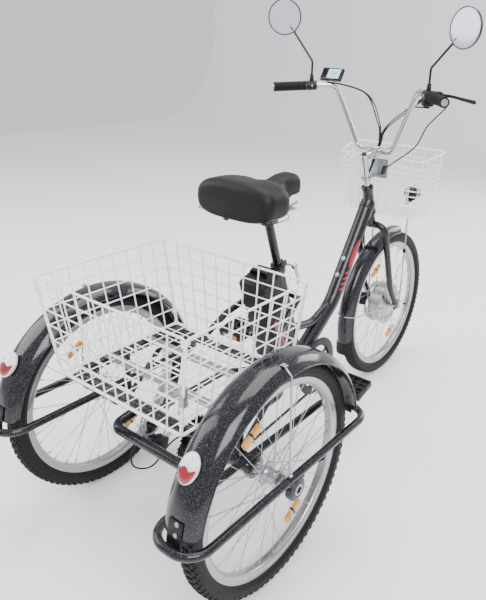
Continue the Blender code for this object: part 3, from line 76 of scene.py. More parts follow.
@dataclass(frozen=True)
class Finish:
    """One surface finish.

    Attributes:
        name: Material name.
        colour: Linear base colour.
        roughness: Principled roughness.
        metallic: Principled metallic.
        kind: How the surface varies.
        slot: Material slot of the record that it belongs to, or ""; not used.
        coat: Weight of the clear coat.
        shine: Specular level of the base.
    """

    name: str
    colour: tuple[float, float, float]
    roughness: float
    metallic: float = 0.0
    kind: Kind = Kind.PLAIN
    slot: str = ""
    coat: float = 0.0
    shine: float = 0.5

    def material(self) -> bpy.types.Material:
        """Make the material, or find it if it was made before.

        Returns:
            The Blender material.
        """
        found = bpy.data.materials.get(self.name)
        if found:
            return found
        made = bpy.data.materials.new(self.name)
        made.use_nodes = True
        tree = made.node_tree
        shader = tree.nodes["Principled BSDF"]
        shader.inputs["Base Color"].default_value = (*self.colour, 1)
        shader.inputs["Roughness"].default_value = self.roughness
        shader.inputs["Metallic"].default_value = self.metallic
        shader.inputs["Coat Weight"].default_value = self.coat
        shader.inputs["Coat Roughness"].default_value = 0.06
        shader.inputs["Specular IOR Level"].default_value = self.shine
        if self.kind is Kind.FLAKE_AND_GLINT:
            self._paint_flake_and_glints(tree, shader)
        elif self.kind is Kind.BRUSHED:
            self._mottle(tree, shader, 60, 0.10, 0.0)
        elif self.kind is Kind.RUBBER:
            self._mottle(tree, shader, 240, 0.10, 0.12)
        elif self.kind is Kind.GRAINED:
            self._mottle(tree, shader, 700, 0.06, 0.16)
        elif self.kind is Kind.LENS:
            shader.inputs["Transmission Weight"].default_value = 0.35
            shader.inputs["IOR"].default_value = 1.49
        elif self.kind is Kind.GLOW:
            shader.inputs["Emission Color"].default_value = (*self.colour, 1)
            shader.inputs["Emission Strength"].default_value = 0.55
        return made

    def _paint_flake_and_glints(self, tree: bpy.types.NodeTree, shader: bpy.types.Node) -> None:
        """Scatter fine bright specks through dark paint: partly real flake, partly painted glints that stand
        in for small reflections on the gloss.
        """
        place = tree.nodes.new("ShaderNodeTexCoord")
        cells = tree.nodes.new("ShaderNodeTexVoronoi")
        cells.inputs["Scale"].default_value = 1300
        tree.links.new(place.outputs["Object"], cells.inputs["Vector"])
        glint_ramp = tree.nodes.new("ShaderNodeValToRGB")
        glint_ramp.color_ramp.elements[0].position = 0.90
        glint_ramp.color_ramp.elements[0].color = (*self.colour, 1)
        # Painted glint: this bright speck colour shows the same in light and in shade.
        glint_ramp.color_ramp.elements[1].position = 0.99
        glint_ramp.color_ramp.elements[1].color = (0.16, 0.165, 0.19, 1)
        split = tree.nodes.new("ShaderNodeSeparateColor")
        tree.links.new(cells.outputs["Color"], split.inputs["Color"])
        tree.links.new(split.outputs["Red"], glint_ramp.inputs["Fac"])
        tree.links.new(glint_ramp.outputs["Color"], shader.inputs["Base Color"])

    def _mottle(self, tree: bpy.types.NodeTree, shader: bpy.types.Node, scale: float, spread: float,
                bump: float) -> None:
        """Vary the roughness, and the height where asked, with a fine noise.

        Args:
            tree: The material's nodes.
            shader: Its Principled shader.
            scale: Noise scale per metre.
            spread: How far the roughness strays either way.
            bump: Strength of the bump, or 0.
        """
        place = tree.nodes.new("ShaderNodeTexCoord")
        grain = tree.nodes.new("ShaderNodeTexNoise")
        grain.inputs["Scale"].default_value = scale
        grain.inputs["Detail"].default_value = 3
        tree.links.new(place.outputs["Object"], grain.inputs["Vector"])
        level = tree.nodes.new("ShaderNodeMapRange")
        level.inputs["To Min"].default_value = max(self.roughness - spread, 0.02)
        level.inputs["To Max"].default_value = min(self.roughness + spread, 1.0)
        tree.links.new(grain.outputs["Fac"], level.inputs["Value"])
        tree.links.new(level.outputs["Result"], shader.inputs["Roughness"])
        if bump:
            relief = tree.nodes.new("ShaderNodeBump")
            relief.inputs["Strength"].default_value = bump
            relief.inputs["Distance"].default_value = 0.0006
            tree.links.new(grain.outputs["Fac"], relief.inputs["Height"])
            tree.links.new(relief.outputs["Normal"], shader.inputs["Normal"])


# Black paints: their bright specks are partly real flake, partly painted glints.
PAINT = Finish("black_paint_with_painted_glints", (0.0025, 0.0025, 0.0035), 0.24, 0.0, Kind.FLAKE_AND_GLINT, "black_paint", 0.25,
               0.30)
FENDER_PAINT = Finish("fender_paint_with_painted_glints", (0.0025, 0.0025, 0.0035), 0.16, 0.0, Kind.FLAKE_AND_GLINT, "fender_black",
                      0.3, 0.35)
SATIN_BLACK = Finish("satin_black", (0.005, 0.005, 0.006), 0.40, 0.0, Kind.GRAINED, "black_plastic", 0.0,
                     0.28)
GLOSS_BLACK = Finish("gloss_black", (0.004, 0.004, 0.005), 0.18, 0.0, Kind.PLAIN, "black_plastic", 0.15, 0.4)
CABLE_BLACK = Finish("cable_black", (0.005, 0.005, 0.006), 0.35, 0.0, Kind.PLAIN, "black_plastic", 0.0, 0.3)
CHROME = Finish("chrome_plate", (0.50, 0.50, 0.51), 0.09, 1.0, Kind.PLAIN, "chrome")
SILVER = Finish("satin_silver", (0.42, 0.425, 0.43), 0.32, 1.0, Kind.BRUSHED, "silver")
SPOKE = Finish("spoke_steel", (0.40, 0.405, 0.41), 0.28, 1.0, Kind.PLAIN, "silver")
GREY_STEEL = Finish("grey_steel", (0.34, 0.35, 0.36), 0.38, 0.8, Kind.BRUSHED, "steel")
ZINC = Finish("zinc_steel", (0.40, 0.405, 0.42), 0.34, 0.9, Kind.BRUSHED, "steel")
DARK_STEEL = Finish("dark_steel", (0.06, 0.06, 0.065), 0.34, 0.9, Kind.BRUSHED, "steel")
RUBBER = Finish("grip_rubber", (0.005, 0.005, 0.0055), 0.60, 0.0, Kind.RUBBER, "rubber", 0.0, 0.25)
TYRE_RUBBER = Finish("tyre_rubber", (0.006, 0.006, 0.0065), 0.62, 0.0, Kind.RUBBER, "tyre", 0.0, 0.25)
WIRE_WHITE = Finish("white_coating", (0.86, 0.87, 0.88), 0.34, 0.0, Kind.PLAIN, "white_wire", 0.3)
SKIN = Finish("saddle_skin_black", (0.0045, 0.0045, 0.005), 0.50, 0.0, Kind.GRAINED, "saddle_skin", 0.0, 0.25)
RED_LENS = Finish("red_reflector", (0.26, 0.002, 0.010), 0.16, 0.0, Kind.PLAIN, "red_lens", 0.8)
LAMP_WHITE = Finish("lamp_white", (0.80, 0.80, 0.82), 0.18, 0.0, Kind.PLAIN, "red_lens", 0.8)
AMBER = Finish("amber_reflector", (0.72, 0.30, 0.015), 0.18, 0.0, Kind.PLAIN, "", 0.8)
GLASS = Finish("mirror_glass", (0.56, 0.575, 0.66), 0.12, 0.30, Kind.PLAIN, "mirror")
SCREEN = Finish("screen_cyan", (0.30, 0.66, 0.72), 0.22, 0.0, Kind.GLOW, "")
SCREEN_RIM = Finish("screen_rim_white", (0.70, 0.74, 0.76), 0.3)
DECAL_RED = Finish("decal_red", (0.36, 0.004, 0.022), 0.32, 0.0, Kind.PLAIN, "", 0.4)
CLEAR = Finish("clear_lens", (0.75, 0.77, 0.80), 0.05, 0.0, Kind.LENS)
FLOOR = Finish("studio_floor", (0.94, 0.94, 0.945), 0.8)


# ---- geometry ---------------------------------------------------------------------------------
def facing(direction: Vector, origin: Vector, side: Vector = Z_AXIS) -> Matrix:
    """Matrix whose Z points along a direction.

    Args:
        direction: Where its Z points.
        origin: Its place.
        side: Direction that its X is kept square to.

    Returns:
        The matrix.
    """
    z = direction.normalized()
    across = side.cross(z)
    x = across.normalized() if across.length > 1e-6 else X_AXIS
    return Matrix.Translation(origin) @ Matrix((x, z.cross(x), z)).transposed().to_4x4()


def radial(angle: float, radius: float, x: float = 0.0) -> Vector:
    """Point on a circle about the X axis."""
    return Vector((x, radius * math.cos(angle), radius * math.sin(angle)))


def mirrored(point: Vector, sign: float) -> Vector:
    """Point of the left half, or its mirror on the right."""
    return Vector((sign * point.x, point.y, point.z))


def rounded(corners: Sequence[Vector], radius: float, steps: int = 8, cyclic: bool = False) -> list[Vector]:
    """Replace each inner corner of a path by an arc.

    Args:
        corners: Corner points.
        radius: Bend radius.
        steps: Pieces per arc.
        cyclic: Whether the path closes on itself.

    Returns:
        The points of the rounded path.
    """
    count = len(corners)
    path: list[Vector] = []
    for index, corner in enumerate(corners):
        if not cyclic and index in (0, count - 1):
            path.append(corner.copy())
            continue
        back = (corners[index - 1] - corner).normalized()
        ahead = (corners[(index + 1) % count] - corner).normalized()
        half = back.angle(ahead) / 2
        cut_back = radius / math.tan(half)
        centre = corner + (back + ahead).normalized() * (radius / math.sin(half))
        start = (corner + back * cut_back - centre).normalized()
        end = (corner + ahead * cut_back - centre).normalized()
        path += [centre + start.slerp(end, step / steps) * radius for step in range(steps + 1)]
    return path


def smooth(points: Sequence[Vector], per_span: int = 8) -> list[Vector]:
    """Points on a smooth curve through the given ones.

    Args:
        points: Points that the curve passes.
        per_span: Pieces between two of them.

    Returns:
        The curve's points.
    """
    path: list[Vector] = []
    last = len(points) - 1
    for index in range(last):
        p0, p1 = points[max(index - 1, 0)], points[index]
        p2, p3 = points[index + 1], points[min(index + 2, last)]
        for step in range(per_span):
            t = step / per_span
            spread = (p2 - p0) * t + (2 * p0 - 5 * p1 + 4 * p2 - p3) * t ** 2
            spread += (3 * p1 - p0 - 3 * p2 + p3) * t ** 3
            path.append(p1 + spread / 2)
    path.append(points[-1].copy())
    return path


class Shape:
    """Mesh of one piece, gathered part by part in the row frame."""

    def __init__(self) -> None:
        self.bm = bmesh.new()

    def _rings(self, rings: list[list[bmesh.types.BMVert]], cyclic: bool, caps: bool) -> None:
        """Skin a row of equal rings, and close its ends."""
        count = len(rings[0])
        pairs = list(zip(rings, rings[1:]))
        if cyclic:
            pairs.append((rings[-1], rings[0]))
        for first, second in pairs:
            for index in range(count):
                after = (index + 1) % count
                self.bm.faces.new((first[index], first[after], second[after], second[index]))
        if caps and not cyclic:
            self.bm.faces.new(list(reversed(rings[0])))
            self.bm.faces.new(rings[-1])

    def sweep(self, path: Sequence[Vector], section: Sequence[tuple[float, float]], up: Vector | None = None,
              cyclic: bool = False, scales: Sequence[float] | None = None) -> "Shape":
        """Carry a closed section along a path without twisting it.

        Args:
            path: Points of the path.
            section: Points (across, up) round the section.
            up: First direction of the section's up, or any.
            cyclic: Whether the path closes.
            scales: Size of the section at each point, or 1.

        Returns:
            This shape.
        """
        count = len(path)
        tangents = []
        for index in range(count):
            before = path[index - 1] if cyclic or index else path[0]
            after = path[(index + 1) % count] if cyclic or index < count - 1 else path[-1]
            tangents.append((after - before).normalized())
        first = up if up is not None else (X_AXIS if abs(tangents[0].x) < 0.9 else Z_AXIS)
        normal = (first - tangents[0] * first.dot(tangents[0])).normalized()
        normals = [normal]
        for index in range(1, count):
            turn = tangents[index - 1].rotation_difference(tangents[index])
            normals.append((turn @ normals[-1]).normalized())
        twist = 0.0
        if cyclic:
            turn = tangents[-1].rotation_difference(tangents[0])
            closing = turn @ normals[-1]
            side = tangents[0].cross(normals[0])
            twist = -math.atan2(closing.dot(side), closing.dot(normals[0]))
        rings = []
        for index, point in enumerate(path):
            turn = Quaternion(tangents[index], twist * index / count)
            lift = turn @ normals[index]
            across = tangents[index].cross(lift)
            scale = scales[index] if scales else 1.0
            rings.append([self.bm.verts.new(point + (across * a + lift * u) * scale) for a, u in section])
        self._rings(rings, cyclic, True)
        return self

    def tube(self, path: Sequence[Vector], radius: float, sides: int = 16, cyclic: bool = False,
             scales: Sequence[float] | None = None) -> "Shape":
        """Round tube along a path."""
        section = [(radius * math.cos(TAU * i / sides),
                    radius * math.sin(TAU * i / sides)) for i in range(sides)]
        return self.sweep(path, section, None, cyclic, scales)

    def rod(self, start: Vector, end: Vector, radius: float, end_radius: float | None = None,
            sides: int = 16, round_edge: float = 0.0) -> "Shape":
        """Straight round bar, with rounded rims where asked."""
        length = (end - start).length
        far = radius if end_radius is None else end_radius
        if round_edge:
            edge = round_edge
            profile = [(0, length), (far - edge, length), (far - edge * 0.3, length - edge * 0.3),
                       (far, length - edge), (radius, edge), (radius - edge * 0.3, edge * 0.3),
                       (radius - edge, 0), (0, 0)]
        else:
            profile = [(0, length), (far, length), (radius, 0), (0, 0)]
        return self.lathe(profile, start, end - start, sides)

    def lathe(self, profile: Sequence[tuple[float, float]], centre: Vector, axis: Vector,
              steps: int = 48) -> "Shape":
        """Turn a profile about an axis.

        Args:
            profile: Points (radius, height) down the outer side; closed into a ring if none is on the axis.
            centre: Where height 0 lies.
            axis: Direction of the heights.
            steps: Facets round the axis.

        Returns:
            This shape.
        """
        place = facing(axis, centre)
        columns = []
        for radius, height in profile:
            if radius < 1e-7:
                columns.append([self.bm.verts.new(place @ Vector((0, 0, height)))])
                continue
            columns.append([
                self.bm.verts.new(place @ Vector((radius * math.cos(TAU * i / steps),
                                                  radius * math.sin(TAU * i / steps), height)))
                for i in range(steps)
            ])
        pairs = list(zip(columns, columns[1:]))
        if len(columns[0]) > 1 and len(columns[-1]) > 1:
            pairs.append((columns[-1], columns[0]))
        for upper, lower in pairs:
            for i in range(steps):
                j = (i + 1) % steps
                ring = [upper[i % len(upper)], lower[i % len(lower)], lower[j % len(lower)],
                        upper[j % len(upper)]]
                unique = list(dict.fromkeys(ring))
                if len(unique) > 2:
                    self.bm.faces.new(unique)
        return self

    def absorb(self, other: bmesh.types.BMesh, matrix: Matrix = Matrix()) -> "Shape":
        """Take in another bmesh, moved by a matrix, and free it."""
        mesh = bpy.data.meshes.new("part")
        other.to_mesh(mesh)
        other.free()
        mesh.transform(matrix)
        self.bm.from_mesh(mesh)
        bpy.data.meshes.remove(mesh)
        return self

    def box(self, size: Sequence[float], centre: Vector, turn: Matrix = Matrix(), edge: float = 0.0,
            segments: int = 3) -> "Shape":
        """Block with rounded edges.

        Args:
            size: Its three sides.
            centre: Its middle.
            turn: Its turn about its middle.
            edge: Radius of its edges, or 0.
            segments: Facets across each edge.

        Returns:
            This shape.
        """
        block = bmesh.new()
        bmesh.ops.create_cube(block, size=1.0)
        bmesh.ops.scale(block, vec=Vector(size), verts=block.verts)
        if edge:
            bmesh.ops.bevel(block, geom=block.edges[:], offset=edge, segments=segments, profile=0.5,
                            affect="EDGES", material=-1)
        return self.absorb(block, Matrix.Translation(centre) @ turn)

    def ball(self, radius: float, centre: Vector, scale: Vector = Vector((1, 1, 1)),
             detail: int = 16) -> "Shape":
        """Ball or egg."""
        sphere = bmesh.new()
        bmesh.ops.create_uvsphere(sphere, u_segments=detail, v_segments=detail // 2 + 2, radius=radius)
        return self.absorb(sphere, Matrix.Translation(centre) @ Matrix.Diagonal((*scale, 1)))

    def ring_plate(self, outer: Sequence[tuple[float, float]], inner: Sequence[tuple[float, float]],
                   thickness: float, matrix: Matrix) -> "Shape":
        """Flat ring between two outlines with as many points each.

        Args:
            outer: Points of the outer outline.
            inner: Points of the inner outline.
            thickness: Its thickness, half to each side of the matrix's plane.
            matrix: Place of its plane.

        Returns:
            This shape.
        """
        loops = []
        for outline, level in ((outer, 0.5), (outer, -0.5), (inner, -0.5), (inner, 0.5)):
            loops.append([self.bm.verts.new(matrix @ Vector((a, b, level * thickness))) for a, b in outline])
        count = len(outer)
        for k in range(4):
            upper, lower = loops[k], loops[(k + 1) % 4]
            for i in range(count):
                j = (i + 1) % count
                self.bm.faces.new((upper[i], lower[i], lower[j], upper[j]))
        return self

    def plate(self, outline: Sequence[tuple[float, float]], thickness: float, matrix: Matrix) -> "Shape":
        """Flat plate with an outline."""
        top = [self.bm.verts.new(matrix @ Vector((a, b, thickness / 2))) for a, b in outline]
        low = [self.bm.verts.new(matrix @ Vector((a, b, -thickness / 2))) for a, b in outline]
        self.bm.faces.new(top)
        self.bm.faces.new(list(reversed(low)))
        for i in range(len(outline)):
            j = (i + 1) % len(outline)
            self.bm.faces.new((top[j], top[i], low[i], low[j]))
        return self

    def bolt(self, centre: Vector, axis: Vector, radius: float = 0.005, height: float = 0.004) -> "Shape":
        """Domed bolt head on a washer."""
        r, h = radius, height
        profile = [(0, h * 0.62), (r * 0.42, h * 0.62), (r * 0.46, h), (r * 0.8, h * 0.86), (r, h * 0.4),
                   (r, h * 0.12), (r * 1.3, h * 0.12), (r * 1.3, -h * 0.2), (0, -h * 0.2)]
        return self.lathe(profile, centre, axis, 16)

    def nut(self, centre: Vector, axis: Vector, radius: float = 0.007, height: float = 0.007) -> "Shape":
        """Six-sided nut."""
        return self.lathe([(0, height), (radius * 0.86, height), (radius, height * 0.86), (radius, 0),
                           (0, 0)],
                          centre, axis, 6)


@dataclass
class Piece:
    """One visible piece, ready to be published.

    Attributes:
        name: Its unique name.
        shape: Its mesh.
        finish: Its surface.
        body: CAD body that carries it.
        stands_for: CAD nodes that it hides.
        angle: Edges sharper than this many degrees stay sharp.
    """

    name: str
    shape: Shape
    finish: Finish
    body: str
    stands_for: tuple[str, ...] = ()
    angle: float = 38.0

    def publish(self) -> bpy.types.Object:
        """Turn the shape into an object that rides on its body.

        Returns:
            The object.
        """
        bmesh.ops.recalc_face_normals(self.shape.bm, faces=self.shape.bm.faces)
        mesh = bpy.data.meshes.new(self.name)
        self.shape.bm.to_mesh(mesh)
        self.shape.bm.free()
        mesh.shade_smooth()
        mesh.set_sharp_from_angle(angle=math.radians(self.angle))
        mesh.materials.append(self.finish.material())
        made = bpy.data.objects.new(self.name, mesh)
        bpy.context.scene.collection.objects.link(made)
        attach(made, self.body)
        if self.stands_for:
            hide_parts(*self.stands_for)
        LOG.info("%s: %d faces on %s", self.name, len(mesh.polygons), self.body)
        return made


def circle(count: int, radius: float, offset: float = 0.0) -> list[tuple[float, float]]:
    """Points round a circle."""
    return [(radius * math.cos(TAU * (i + offset) / count), radius * math.sin(TAU * (i + offset) / count))
            for i in range(count)]


def toothed(teeth: int, root: float, tip: float) -> list[tuple[float, float]]:
    """Outline of a sprocket, four points to a tooth."""
    outline = []
    for i in range(teeth):
        for share, radius in ((-0.34, root), (-0.13, tip), (0.13, tip), (0.34, root)):
            angle = TAU * (i + share) / teeth
            outline.append((radius * math.cos(angle), radius * math.sin(angle)))
    return outline


# ---- layout -------------------------------------------------------------------------------------
REAR_Y = 0.55125
WHEEL_R = 0.303
REAR_AXLE = Vector((0, REAR_Y, WHEEL_R))
FRONT_AXLE = Vector((0, REAR_Y - 1.155, WHEEL_R))
BB = Vector((0, REAR_Y - 0.545, 0.29))
TRACK = 0.655
HEAD_LEAN = math.radians(19.0)
SEAT_LEAN = math.radians(18.5)
STEER_DIR = Vector((0, math.sin(HEAD_LEAN), math.cos(HEAD_LEAN)))
STEER_BACK = Vector((0, math.cos(HEAD_LEAN), -math.sin(HEAD_LEAN)))
STEER_FOOT = FRONT_AXLE + STEER_BACK * 0.0295
SEAT_DIR = Vector((0, math.sin(SEAT_LEAN), math.cos(SEAT_LEAN)))
SEAT_BACK = Vector((0, math.cos(SEAT_LEAN), -math.sin(SEAT_LEAN)))
HEAD_LOW = 0.453
HEAD_TOP = 0.568
STEM_TOP = 0.689


def steer(along: float, back: float = 0.0, x: float = 0.0) -> Vector:
    """Point up the steering axis from the axle's level, and behind it."""
    return STEER_FOOT + STEER_DIR * along + STEER_BACK * back + X_AXIS * x


def seat(along: float, back: float = 0.0, x: float = 0.0) -> Vector:
    """Point up the seat tube from the crank axle, and behind it."""
    return BB + SEAT_DIR * along + SEAT_BACK * back + X_AXIS * x


def behind(x: float, back: float, z: float) -> Vector:
    """Point behind the rear axle's line."""
    return Vector((x, REAR_Y + back, z))


BAR_CENTRE = steer(STEM_TOP) + Vector((0, -0.075, 0.012))
BAR_BEND = BAR_CENTRE + Vector((0.165, 0.034, 0.218))
BAR_END = BAR_CENTRE + Vector((0.325, 0.189, 0.203))
GRIP_DIR = (BAR_END - BAR_BEND).normalized()
BASKET_BACK = steer(0.568).y - 0.083
FRONT_DISC_SIDE = 0.0455


# ---- wheels ---------------------------------------------------------------------------------------
def repeat(target: Shape, unit: Shape, count: int, centre: Vector, axis: Vector = X_AXIS) -> Shape:
    """Copy a unit at equal turns about an axis into a shape, and free the unit.

    Args:
        target: Shape that takes the copies.
        unit: One of them.
        count: How many.
        centre: Point on the axis.
        axis: The axis.

    Returns:
        The target.
    """
    mesh = bpy.data.meshes.new("unit")
    unit.bm.to_mesh(mesh)
    unit.bm.free()
    step = Matrix.Translation(centre) @ Matrix.Rotation(TAU / count, 4, axis) @ Matrix.Translation(-centre)
    for _ in range(count):
        target.bm.from_mesh(mesh)
        mesh.transform(step)
    bpy.data.meshes.remove(mesh)
    return target


@dataclass
class Rotor:
    """Brake disc: a pierced ring on swept arms.

    Attributes:
        centre: Middle of the disc.
        radius: Its outer radius.
        arms: How many arms carry the ring.
    """

    centre: Vector
    radius: float = 0.080
    arms: int = 6

    def add_to(self, shape: Shape) -> None:
        """Add ring, bridges, arms and carrier to a shape."""
        place = facing(X_AXIS, self.centre)
        shape.ring_plate(circle(96, self.radius), circle(96, self.radius - 0.0052), 0.0018, place)
        shape.ring_plate(circle(96, self.radius - 0.0125), circle(96, self.radius - 0.0170), 0.0018, place)
        bridge = Shape().box((0.0017, 0.0075, 0.0042), self.centre + Vector((0, self.radius - 0.0089, 0)),
                             Matrix.Rotation(math.radians(28), 4, "X"))
        repeat(shape, bridge, 42, self.centre)
        start = self.centre + radial(0.0, 0.020)
        end = self.centre + radial(math.radians(34), self.radius - 0.0145)
        arm = Shape().sweep(smooth([start, self.centre + radial(math.radians(12), 0.042), end], 5),
                            [(-0.0008, -0.0032), (0.0008, -0.0032), (0.0008, 0.0032), (-0.0008, 0.0032)],
                            Y_AXIS)
        repeat(shape, arm, self.arms, self.centre)
        shape.ring_plate(circle(48, 0.0255), circle(48, 0.014), 0.0022, place)


@dataclass
class Wheel:
    """Spoked 24-inch wheel with its block-tread tyre.

    Attributes:
        name: Prefix of its pieces.
        centre: Its middle.
        body: Body that carries it.
        nodes: CAD nodes that the tyre and the wheel stand for.
        motor: Whether its hub is the motor.
        width: Tyre width.
        rim_radius: Radius of the rim's outer edge.
        spokes: Number of spokes.
    """

    name: str
    centre: Vector
    body: str
    nodes: tuple[str, str]
    motor: bool = False
    width: float = 0.049
    rim_radius: float = 0.262
    spokes: int = 36

    def build(self) -> None:
        """Publish tyre, rim, spokes, hub and the small pieces."""
        self._tyre()
        self._rim()
        self._spokes()
        self._hub()
        self._trim()

    def _tyre(self) -> None:
        half = self.width / 2
        outer = [(0.3002, 0.0), (0.3000, 0.30), (0.2990, 0.55), (0.2960, 0.78), (0.2905, 0.94), (0.2830, 1.0),
                 (0.2760, 0.97), (0.2735, 0.985), (0.2715, 0.93), (0.2660, 0.76), (0.2632, 0.66),
                 (0.2600, 0.60)]
        inner = [(0.2600, 0.50), (0.2680, 0.68), (0.2830, 0.86), (0.2940, 0.60), (0.2965, 0.0)]
        profile = [(r, x * half) for r, x in outer] + [(r, x * half) for r, x in inner]
        profile += [(r, -x * half) for r, x in reversed(inner[:-1])]
        profile += [(r, -x * half) for r, x in reversed(outer[1:])]
        tyre = Shape().lathe(profile, self.centre, X_AXIS, 120)
        row = Shape()
        for x in (-0.0050, 0.0050):
            row.box((0.0078, 0.0108, 0.0034), self.centre + Vector((x, 0, 0.3013)),
                    Matrix.Rotation(math.radians(14 if x > 0 else -14), 4, "Z"), 0.0006, 1)
        turn = Matrix.Rotation(TAU / 168, 4, "X")
        for x, tilt in ((-0.0152, -24), (0.0152, 24)):
            block = turn @ Vector((x, 0, 0.2994))
            row.box((0.0074, 0.0120, 0.0036), self.centre + block,
                    turn @ Matrix.Rotation(math.radians(tilt), 4, "Y"), 0.0006, 1)
        for x, tilt in ((-0.0212, -52), (0.0212, 52)):
            row.box((0.0062, 0.0100, 0.0034), self.centre + Vector((x, 0.002, 0.2943)),
                    Matrix.Rotation(math.radians(tilt), 4, "Y"), 0.0006, 1)
        repeat(tyre, row, 84, self.centre)
        Piece(self.name + "_tyre_tread", tyre, TYRE_RUBBER, self.body, (self.nodes[0],), 42).publish()

    def _rim(self) -> None:
        edge, floor = self.rim_radius, 0.2400
        side = [(edge + 0.0005, 0.0152), (edge + 0.0012, 0.0144), (edge, 0.0132), (edge - 0.0075, 0.0128),
                (edge - 0.0085, 0.0)]
        low = [(floor, 0.0), (floor, 0.0070), (floor + 0.0018, 0.0112), (floor + 0.0060, 0.0146),
               (floor + 0.0105, 0.0155), (edge - 0.0020, 0.0155)]
        ring = list(side) + [(r, -x) for r, x in reversed(side[:-1])]
        ring += [(r, -x) for r, x in reversed(low[1:])] + low
        rim = Shape().lathe(ring, self.centre, X_AXIS, 120)
        Piece(self.name + "_rim", rim, SILVER, self.body, (), 30).publish()

    def _spokes(self) -> None:
        flange = 0.0825 if self.motor else 0.0275
        spread = 0.0236 if self.motor else 0.022
        swing = math.radians(22 if self.motor else 62)
        wires = Shape()
        nipples = Shape()
        per_side = self.spokes // 2
        for side in (1, -1):
            for index in range(per_side):
                sense = 1 if index % 2 else -1
                rim_angle = TAU * (index + (0.5 if side < 0 else 0)) / per_side
                start = self.centre + radial(rim_angle + sense * swing, flange,
                                             side * (spread + sense * 0.0016))
                end = self.centre + radial(rim_angle, 0.2405, side * 0.0035)
                wires.rod(start, end, 0.0010, sides=6)
                along = (end - start).normalized()
                nipples.rod(end - along * 0.012, end, 0.0019, sides=8)
                wires.ball(0.0022, start, detail=8)
        Piece(self.name + "_spokes", wires, SPOKE, self.body).publish()
        Piece(self.name + "_nipples", nipples, ZINC, self.body).publish()

    def _hub(self) -> None:
        stands = (self.nodes[1],)
        if not self.motor:
            half = [(0.0089, 0.034), (0.0135, 0.034), (0.0150, 0.0325), (0.0150, 0.0290), (0.0175, 0.0265),
                    (0.0205, 0.0245), (0.0300, 0.0238), (0.0310, 0.0228), (0.0310, 0.0212), (0.0300, 0.0202),
                    (0.0200, 0.0188), (0.0165, 0.0130)]
            hub = Shape().lathe(half + [(r, -x) for r, x in reversed(half)], self.centre, X_AXIS, 60)
            Piece(self.name + "_hub", hub, ZINC, self.body, stands, 30).publish()
            return
        half = [(0.0066, 0.0350), (0.0190, 0.0350), (0.0215, 0.0336), (0.0230, 0.0322), (0.0450, 0.0310),
                (0.0470, 0.0300), (0.0660, 0.0290), (0.0735, 0.0272), (0.0780, 0.0264), (0.0790, 0.0258),
                (0.0858, 0.0256), (0.0868, 0.0244), (0.0868, 0.0228), (0.0858, 0.0218), (0.0795, 0.0214)]
        drum = Shape().lathe(half + [(r, -x) for r, x in reversed(half)], self.centre, X_AXIS, 96)
        for side in (1, -1):
            rib = Shape().box((0.0022, 0.0200, 0.0030), self.centre + Vector((side * 0.0302, 0.057, 0)),
                              edge=0.0008, segments=2)
            repeat(drum, rib, 18, self.centre)
        Piece("motor_housing", drum, SILVER, self.body, stands, 30).publish()
        screws = Shape()
        for side in (1, -1):
            screw = Shape().bolt(self.centre + Vector((side * 0.0284, 0.0725, 0)), X_AXIS * side, 0.0026,
                                 0.0020)
            repeat(screws, screw, 9, self.centre)
        Piece("motor_screws", screws, DARK_STEEL, self.body).publish()
        disc = Shape()
        Rotor(self.centre + X_AXIS * FRONT_DISC_SIDE).add_to(disc)
        disc.lathe([(0.0068, FRONT_DISC_SIDE), (0.0215, FRONT_DISC_SIDE), (0.0225, 0.0352), (0.0068, 0.0352)], self.centre,
                   X_AXIS, 40)
        Piece("front_rotor", disc, ZINC, self.body, (), 30).publish()

    def _trim(self) -> None:
        glow = Shape()
        clips = Shape()
        for turn in (math.radians(62), math.radians(242)):
            middle = self.centre + radial(turn, 0.186, 0.0)
            place = Matrix.Rotation(turn, 4, "X")
            glow.box((0.0120, 0.0200, 0.0660), middle, place, 0.0048, 4)
            clips.box((0.0136, 0.0226, 0.0060), middle, place, 0.002, 2)
        Piece(self.name + "_reflectors", glow, AMBER, self.body).publish()
        Piece(self.name + "_reflector_clips", clips, GLOSS_BLACK, self.body).publish()
        valve = Shape()
        turn = math.radians(200)
        foot = self.centre + radial(turn, 0.2405, 0)
        head = self.centre + radial(turn, 0.2130, 0)
        valve.rod(foot, head + (foot - head) * 0.35, 0.0032, sides=16)
        valve.rod(head + (foot - head) * 0.42, head, 0.0042, 0.0036, sides=16, round_edge=0.001)
        Piece(self.name + "_valve", valve, RUBBER, self.body).publish()


